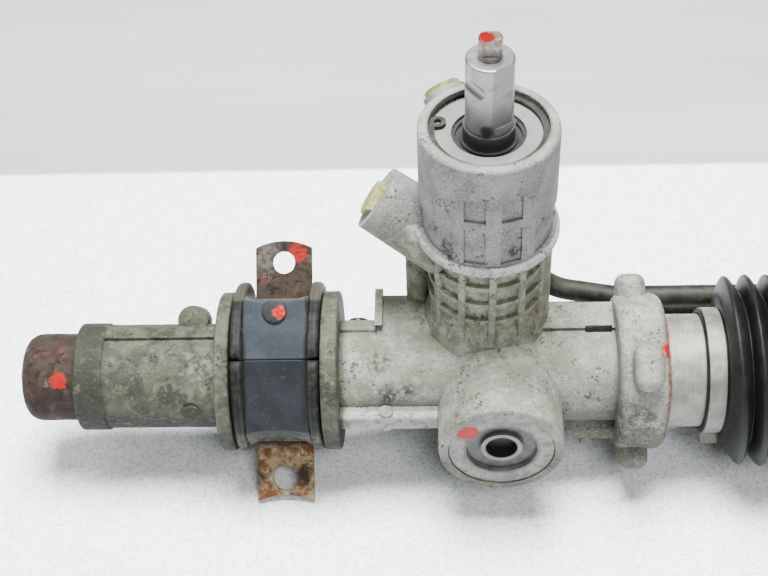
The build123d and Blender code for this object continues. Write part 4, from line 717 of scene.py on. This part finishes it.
def floor_foam():
    """White foam sheet with a fine grain, painted grey beyond a line behind the part as the shade of the
    white backdrop.
    """
    finish = Finish("white foam sheet", specular=0.4)
    clouds = finish.noise(160.0, 4.0, 0.5)
    grain = finish.noise(1.5, 4.0, 0.8)
    finish.base = finish.blend(clouds, tone(0.86, 0.9, 0.925), tone(0.92, 0.95, 0.97))
    finish.coat(tone(0.5, 0.52, 0.54), finish.step(grain, 0.48, 0.62), 0.8)
    # painted shade: the shaded grey of the white backdrop, laid on the floor beyond a line behind the
    # part
    backdrop_shade = finish.rise(finish.axis("Y"), 188.0, 192.0, RACK_Y)
    grey = finish.blend(finish.noise(40.0, 3.0, 0.5, stretch=(0.15, 1.0, 1.0)), tone(0.26, 0.26, 0.257),
                        tone(0.42, 0.42, 0.416))
    finish.coat(grey, backdrop_shade)
    finish.colour(finish.base)
    finish.rough(grain, 0.35, 0.80)
    finish.bump((grain, 0.35), (finish.noise(90.0, 2.0), 1.0))
    return finish.material


# --- which finish each solid takes ---
FINISHES = {
    "cast_alloy": cast_alloy,
    "turned_alloy": turned_alloy,
    "rusty_steel": rusty_steel,
    "bright_steel": bright_steel,
    "dark_steel": dark_steel,
    "tube_steel": tube_paint,
    "clamp_steel": clamp_steel,
    "bush_rubber": bush_rubber,
    "boot_rubber": boot_rubber,
    "seal_rubber": seal_rubber,
    "plug_plastic": plug_plastic,
    "liner_plastic": liner_plastic,
    "bearing_bronze": bearing_bronze,
}
PLATES = ("retainer_washer",)


def dress_solids(made):
    """Gives each solid the finish of its material slot; the plates have one of their own."""
    plate = plate_steel()
    for part in frame["record"]["subparts"]:
        mesh = nodes[part["node"]].data
        mesh.materials.clear()
        mesh.materials.append(plate if part["node"] in PLATES else made[part["material_slot"]])


# --- new pieces ---
def grid_faces(rows, columns, closed_u, closed_v, start):
    """Four-sided faces of a grid of points numbered from start, row by row."""
    u = np.arange(rows if closed_u else rows - 1)
    v = np.arange(columns if closed_v else columns - 1)
    first, second = np.meshgrid(u, v, indexing="ij")
    across = (second + 1) % columns
    down = (first + 1) % rows
    faces = np.stack([first * columns + second, first * columns + across,
                      down * columns + across, down * columns + second], axis=-1)
    return faces.reshape(-1, 4) + start


def surface(name, grids, material, weld=False):
    """Smooth mesh of one or more grids, each (points with shape (rows, columns, 3), closed_u,
    closed_v), where u runs down the rows. Weld joins points that fall on each other."""
    points, faces, start = [], [], 0
    for grid, closed_u, closed_v in grids:
        rows, columns = grid.shape[:2]
        faces.append(grid_faces(rows, columns, closed_u, closed_v, start))
        points.append(grid.reshape(-1, 3))
        start += rows * columns
    mesh = bpy.data.meshes.new(name)
    mesh.from_pydata(np.concatenate(points).tolist(), [], np.concatenate(faces).tolist())
    if weld:
        work = bmesh.new()
        work.from_mesh(mesh)
        bmesh.ops.remove_doubles(work, verts=work.verts, dist=1e-6)
        bmesh.ops.recalc_face_normals(work, faces=work.faces)
        work.to_mesh(mesh)
        work.free()
    mesh.update()
    mesh.polygons.foreach_set("use_smooth", np.ones(len(mesh.polygons), dtype=bool))
    mesh.materials.append(material)
    piece = bpy.data.objects.new(name, mesh)
    bpy.context.scene.collection.objects.link(piece)
    return piece


BOOT_FOLDS = 14
BOOT_SEAT = 9.0 * MM
BOOT_SHOULDER = 0.6 * MM
BOOT_CREST = 41.3 * MM
BOOT_ROOT = 32.4 * MM
BOOT_WALL = 1.5 * MM
BOOT_SEAT_RADIUS = 26.1 * MM
BOOT_BEAD = 0.7 * MM
BOOT_SAG = 1.0 * MM
BOOT_LEAN = 3.6 * MM
BOOT_ROWS_PER_FOLD = 20
BOOT_AROUND = 96


def bellows_profile(length):
    """Outer line of the bellows as (along, radius): a beaded collar, waves whose crests are
    rounder than their roots, and a collar. The wave is 0.25 of a raised cosine and 0.75 of
    |sin|^0.8, and the first and last crest are a little lower."""
    fold = (length - 2 * BOOT_SEAT - 2 * BOOT_SHOULDER) / BOOT_FOLDS
    first = BOOT_SEAT + BOOT_SHOULDER
    turns = np.linspace(0.0, BOOT_FOLDS, BOOT_FOLDS * BOOT_ROWS_PER_FOLD + 1)
    wave = np.abs(np.sin(pi * turns)) ** 0.8
    ripple = 0.5 - 0.5 * np.cos(2 * pi * turns)
    end = np.clip(np.minimum(turns, BOOT_FOLDS - turns), 0.0, 1.0)
    crest = BOOT_CREST - 1.4 * MM * (1.0 - end)
    radius = BOOT_ROOT + (crest - BOOT_ROOT) * (0.25 * ripple + 0.75 * wave)
    along = first + fold * turns
    collar_along = np.array([0.0, 0.3, 0.9, 1.5, 2.1, 2.5, 5.0, 8.6, 9.0]) * MM
    bead = np.array([0.0, 0.5, 0.9, 0.9, 0.5, 0.1, 0.0, 0.0, 0.2]) * BOOT_BEAD / 0.9
    collar_radius = BOOT_SEAT_RADIUS + bead
    along = np.concatenate([collar_along, along, length - collar_along[::-1]])
    radius = np.concatenate([collar_radius, radius, collar_radius[::-1]])
    return along, radius


def bellows(name, low, high, material):
    """Bellows turned about the rack axis, sagging a little in the middle of its length, its folds
    leaning over at the top. The outer surface is followed by the inner one, a wall inside it."""
    left = low.x
    length = high.x - low.x
    along, radius = bellows_profile(length)
    inner = np.maximum(radius - BOOT_WALL, BOOT_SEAT_RADIUS - BOOT_WALL)
    along = np.concatenate([along, along[::-1]])
    radius = np.concatenate([radius, inner[::-1]])
    angle = np.linspace(0.0, 2 * pi, BOOT_AROUND, endpoint=False)
    sag = BOOT_SAG * np.sin(pi * along / length) ** 2
    height = np.clip((radius - BOOT_SEAT_RADIUS) / (BOOT_CREST - BOOT_SEAT_RADIUS), 0.0, 1.0)
    grid = np.empty((len(along), BOOT_AROUND, 3))
    grid[:, :, 0] = left + along[:, None] - BOOT_LEAN * height[:, None] * np.sin(angle)
    grid[:, :, 1] = RACK_Y + radius[:, None] * np.cos(angle)
    grid[:, :, 2] = RACK_Z + radius[:, None] * np.sin(angle) - sag[:, None]
    return surface(name, [(grid, True, True)], material)


def make_bellows(made):
    """Both bellows, each drawn over the box of its imported solid, which is then hidden."""
    for name, start in (("boot_left", "housing"), ("boot_right", "rack")):
        low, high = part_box(name)
        piece = bellows(name + "_skin", Vector(low), Vector(high), made["boot_rubber"])
        if start == "housing":
            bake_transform(piece)
        else:
            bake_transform(piece)
        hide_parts(name)


# The bushes are drawn in the plane across the tube: u is towards the upper ear of the strap and
# n is out towards the front of the mount. Lengths in millimetres.
BUSH_HALF = 18.85
BUSH_BORE = 22.72
BUSH_SPLIT = 6.8
BUSH_SLIT = 0.18
BUSH_FRONT = 27.0
BUSH_TOP = 33.5
BUSH_KNEE = (-24.4, 20.0)
BUSH_FOOT = -29.9
BUSH_HEEL = 6.0
BUSH_SEAT = -11.6
BUSH_BACK = 26.95
BUSH_FLANGE = 36.9
BUSH_FLANGE_OFFSET = 3.7
BUSH_ROUND = 2.4
BUSH_CHANNEL = 12.85
BUSH_STEPS = 40
BUSH_FLAT = 2.5
SPLIT_DIP = 0.42
SPLIT_DIP_REACH = 4.5
HOLLOW_TOP_START = 24.0
HOLLOW_TOP_DEPTH = 2.6
HOLLOW_FOOT_START = 17.0
HOLLOW_FOOT_DEPTH = 3.6


def along_line(corners, count, soft=2.0):
    """Points evenly spaced along straight runs between corners, then each corner eased by
    averaging the points within a soft distance in millimetres; the ends stay."""
    corners = np.array(corners, dtype=float)
    runs = np.concatenate([[0.0], np.cumsum(np.hypot(*np.diff(corners, axis=0).T))])
    fine = np.linspace(0.0, runs[-1], 8 * count)
    line = np.stack([np.interp(fine, runs, corners[:, k]) for k in (0, 1)], axis=1)
    reach = max(1, int(soft / (runs[-1] / len(fine)) / 2))
    window = np.ones(2 * reach + 1) / (2 * reach + 1)
    padded = np.concatenate([2 * line[0] - line[reach:0:-1], line, 2 * line[-1] - line[-2:-reach - 2:-1]])
    line = np.stack([np.convolve(padded[:, k], window, "valid") for k in (0, 1)], axis=1)
    at = np.linspace(0, len(line) - 1, count).round().astype(int)
    return line[at]


def arc_points(radius, centre, start, end, count):
    """Points (u, n) round a centre (u, n) between two angles from n towards u, in radians."""
    angle = np.linspace(start, end, count)
    return np.stack([centre[0] + radius * np.sin(angle), centre[1] + radius * np.cos(angle)], axis=1)


def ring_between(radius, centre, split, upper, count):
    """Arc on one side of the split plane, from its front end round to its back end."""
    rise = asin((split - centre[0]) / radius)
    if upper:
        return arc_points(radius, centre, rise, pi - rise, count)
    return arc_points(radius, centre, rise, -pi - rise, count)


def bush_outline(upper):
    """Core line of one half, from the split in front to the split behind, with the same number
    of points as the flange's arc and the bore's arc."""
    split = BUSH_SPLIT + (BUSH_SLIT if upper else -BUSH_SLIT)
    seat_u = sqrt(BUSH_BACK ** 2 - BUSH_SEAT ** 2)
    if upper:
        front = [(split, BUSH_FRONT), (BUSH_TOP, BUSH_FRONT), (BUSH_TOP, BUSH_SEAT), (seat_u, BUSH_SEAT)]
        turn = pi - np.arctan2(seat_u, -BUSH_SEAT)
        back = arc_points(BUSH_BACK, (0, 0), turn, pi - asin(split / BUSH_BACK), 24)
    else:
        front = [(split, BUSH_FRONT), BUSH_KNEE, (BUSH_FOOT, BUSH_HEEL), (BUSH_FOOT, BUSH_SEAT),
                 (-seat_u, BUSH_SEAT)]
        turn = -pi + np.arctan2(seat_u, -BUSH_SEAT)
        back = arc_points(BUSH_BACK, (0, 0), turn, -pi - asin(split / BUSH_BACK), 24)
    core = np.concatenate([along_line(front, 3 * BUSH_STEPS), back[1:]])
    count = len(core)
    flange = ring_between(BUSH_FLANGE, (BUSH_FLANGE_OFFSET, -BUSH_FLANGE_OFFSET), split, upper,
                          20 * count)
    core_angle = np.unwrap(np.arctan2(core[:, 0] - BUSH_FLANGE_OFFSET, core[:, 1] + BUSH_FLANGE_OFFSET))
    flange_angle = np.unwrap(np.arctan2(flange[:, 0] - BUSH_FLANGE_OFFSET,
                                        flange[:, 1] + BUSH_FLANGE_OFFSET))
    share = (core_angle - core_angle[0]) / (core_angle[-1] - core_angle[0])
    share = np.maximum.accumulate(np.clip(share, 0.0, 1.0))
    angle = flange_angle[0] + share * (flange_angle[-1] - flange_angle[0])
    order = np.argsort(flange_angle)
    flange = np.stack([np.interp(angle, flange_angle[order], flange[order, k]) for k in (0, 1)], axis=1)
    bore = ring_between(BUSH_BORE, (0, 0), split, upper, 20 * count)
    at = (share * (len(bore) - 1)).round().astype(int)
    return core, flange, bore[at], split


def bush_columns():
    """Across the bush: place x, share of the way from core to flange, and drop of the rim."""
    quarter = np.linspace(0.0, pi / 2, 6)
    outer_x = -BUSH_HALF + BUSH_ROUND * (1 - np.cos(quarter))
    outer_drop = BUSH_ROUND * (1 - np.sin(quarter))
    ridge_x = np.array([-16.1, -15.9, -15.7, -15.55, -15.35, -15.15])
    ridge_drop = np.array([0.0, 0.35, 0.0, 0.0, 0.35, 0.0])
    inner_x = -15.05 + 1.55 * np.sin(quarter)
    inner_drop = BUSH_ROUND * (1 - np.cos(quarter))
    fillet = np.linspace(0.15, pi / 2, 6)
    fillet_x = -BUSH_CHANNEL - 0.55 + 2.9 * (1 - np.cos(fillet))
    fillet_share = 0.30 * (1 - np.sin(fillet))
    x = np.concatenate([outer_x, ridge_x, inner_x, fillet_x, [-7.0]])
    share = np.concatenate([np.ones(18), fillet_share, [0.0]])
    drop = np.concatenate([outer_drop, ridge_drop, inner_drop, np.zeros(7)])
    x = np.concatenate([x, [-BUSH_FLAT, BUSH_FLAT], -x[::-1]])
    share = np.concatenate([share, [0.0, 0.0], share[::-1]])
    drop = np.concatenate([drop, [0.0, 0.0], drop[::-1]])
    return x, share, drop


def bush_half(name, middle_x, upper, material):
    """Half bush: each point is core + share x (flange - core), less the rim's drop towards the
    flange's centre. The flange dips in a quarter round beside the split, and both ends of the
    channel are hollowed by 1 - (x / channel)^2. The bore, end faces and split faces close it."""
    core, flange, bore, split = bush_outline(upper)
    x, share, drop = bush_columns()
    centre = np.array([BUSH_FLANGE_OFFSET, -BUSH_FLANGE_OFFSET])
    inward = (centre - flange) / np.hypot(*(centre - flange).T)[:, None]
    from_split = np.clip(np.abs(flange[:, 0] - split) / SPLIT_DIP_REACH, 0.0, 1.0)
    front = flange[:, 1] > 0
    dip = np.where(front, SPLIT_DIP * (1 - np.sqrt(1 - (1 - from_split) ** 2)), 0.0)
    reach = share[None, :] * (1 - dip[:, None] * (share[None, :] > 0.5))
    section = core[:, None, :] + reach[:, :, None] * (flange - core)[:, None, :]
    section = section + drop[None, :, None] * inward[:, None, :] * share[None, :, None]
    hollow = np.clip(1 - (x / BUSH_CHANNEL) ** 2, 0.0, 1.0)[None, :]
    if upper:
        weight = (core[:, 0] - HOLLOW_TOP_START) / (BUSH_TOP - HOLLOW_TOP_START)
        depth = -HOLLOW_TOP_DEPTH
    else:
        weight = (-core[:, 0] - HOLLOW_FOOT_START) / (-BUSH_FOOT - HOLLOW_FOOT_START)
        depth = HOLLOW_FOOT_DEPTH
    weight = np.clip(weight, 0.0, 1.0) * (core[:, 1] > BUSH_SEAT + 1)
    section[:, :, 0] += depth * hollow * weight[:, None] ** 2
    inner = np.repeat(bore[:, None, :], len(x), axis=1)
    loop = np.concatenate([section, inner[::-1]])
    middle = 0.5 * (section[:, [0, -1]] + inner[:, [0, -1]])
    middle = np.concatenate([middle, middle[::-1]])
    loop = np.concatenate([middle[:, :1], loop, middle[:, 1:]], axis=1)
    across = np.concatenate([[x[0]], x, [x[-1]]])
    grid = place_in_mount(loop[:, :, 0], loop[:, :, 1], np.broadcast_to(across, loop.shape[:2]), middle_x)
    grids = [(grid, True, False)]
    if upper:
        grids.append((bush_nub(middle_x), False, True))
    return surface(name, grids, material, weld=True)


def place_in_mount(u, n, x, middle_x):
    """Points in the frame of the model from millimetres in the plane across the tube."""
    points = np.empty(np.shape(u) + (3,))
    points[..., 0] = middle_x + x * MM
    points[..., 1] = RACK_Y + (u * MOUNT_UP.y + n * MOUNT_OUT.y) * MM
    points[..., 2] = RACK_Z + (u * MOUNT_UP.z + n * MOUNT_OUT.z) * MM
    return points


NUB_AT = 27.2
NUB_RADIUS = 5.2


def bush_nub(middle_x):
    """Low round button on the upper face: a dome with an eased edge, turned about its axis."""
    radius = np.array([0.0, 1.5, 3.0, 4.2, 4.8, 5.1, 5.2, 5.2, 5.2]) * NUB_RADIUS / 5.2
    height = np.array([1.55, 1.5, 1.4, 1.25, 1.05, 0.75, 0.4, 0.0, -0.8])
    angle = np.linspace(0.0, 2 * pi, 48, endpoint=False)
    u = NUB_AT + radius[:, None] * np.sin(angle)
    x = radius[:, None] * np.cos(angle)
    n = np.broadcast_to((BUSH_FRONT + height)[:, None], u.shape)
    return place_in_mount(u, n, x, middle_x)


CAP_WALL = 1.8 * MM
CAP_ROUND = 6.5 * MM


def make_end_cap(made):
    """Pressed cap on the left end, turned about the rack axis: a straight skirt with a rolled
    lip, a quarter-ellipse shoulder and a slightly hollow face, then the inside a wall away."""
    low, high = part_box("left_end_cap")
    outer = 0.5 * (high[2] - low[2])
    length = high[0] - low[0]
    quarter = np.linspace(0.0, pi / 2, 12)
    skirt_x = length - np.array([0.0, 0.3, 0.8, 2.2, 3.0, 9.0, 15.0]) * MM
    skirt_r = outer - np.array([0.5, 0.15, 0.0, 0.0, 0.35, 0.45, 0.35]) * MM
    shoulder_x = CAP_ROUND * (1 - np.sin(quarter))
    shoulder_r = outer - 0.4 * MM - CAP_ROUND * 0.9 * (1 - np.cos(quarter))
    face_r = np.linspace(shoulder_r[-1], 0.0, 8)[1:]
    face_x = 0.6 * MM * (1 - (face_r / shoulder_r[-1]) ** 2)
    x = np.concatenate([skirt_x, shoulder_x, face_x])
    radius = np.concatenate([skirt_r, shoulder_r, face_r])
    inside = slice(None, None, -1)
    inner_x = np.minimum(np.maximum(x, 0.0) + CAP_WALL * (x < CAP_ROUND), length)[inside]
    inner_r = np.clip(radius - CAP_WALL, 0.0, None)[inside]
    x = np.concatenate([x, inner_x])
    radius = np.concatenate([radius, inner_r])
    angle = np.linspace(0.0, 2 * pi, 96, endpoint=False)
    grid = np.empty((len(x), len(angle), 3))
    grid[:, :, 0] = low[0] + x[:, None]
    grid[:, :, 1] = RACK_Y + radius[:, None] * np.cos(angle)
    grid[:, :, 2] = RACK_Z + radius[:, None] * np.sin(angle)
    piece = surface("left_end_cap_skin", [(grid, True, True)], made["rusty_steel"], weld=True)
    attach(piece, "housing")
    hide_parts("left_end_cap")


def make_bushes(made):
    """Both halves of both saddle bushes."""
    for side in ("left", "right"):
        low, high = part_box(side + "_bush_upper")
        middle_x = 0.5 * (low[0] + high[0])
        for half in ("upper", "lower"):
            node = side + "_bush_" + half
            piece = bush_half(node + "_skin", middle_x, half == "upper", made["bush_rubber"])
            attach(piece, "housing")
            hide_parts(node)


FLOOR_SIZE = 9.0
FLOOR_GAP = 0.2 * MM


def make_floor(material):
    """Flat floor under the part that curves up into a wall far behind it."""
    low = cad_low.z - FLOOR_GAP
    run = np.linspace(-FLOOR_SIZE / 2, FLOOR_SIZE / 2, 121)
    start, radius = 1.6, 1.0
    bend = np.clip((run - start) / radius, 0.0, pi / 2)
    beyond = np.clip(run - start - radius * pi / 2, 0.0, None)
    back = np.where(run < start, run, start + radius * np.sin(bend))
    up = np.where(run < start, 0.0, radius * (1 - np.cos(bend))) + beyond
    side = np.linspace(-FLOOR_SIZE / 2, FLOOR_SIZE / 2, 13)
    grid = np.empty((len(run), len(side), 3))
    grid[:, :, 0] = side[None, :]
    grid[:, :, 1] = back[:, None]
    grid[:, :, 2] = low + up[:, None]
    floor = surface("floor", [(grid, False, False)], material)


made = {slot: make() for slot, make in FINISHES.items()}
make_camera()
make_surroundings()
make_floor(floor_foam())
dress_solids(made)
make_bellows(made)
make_bushes(made)
make_end_cap(made)
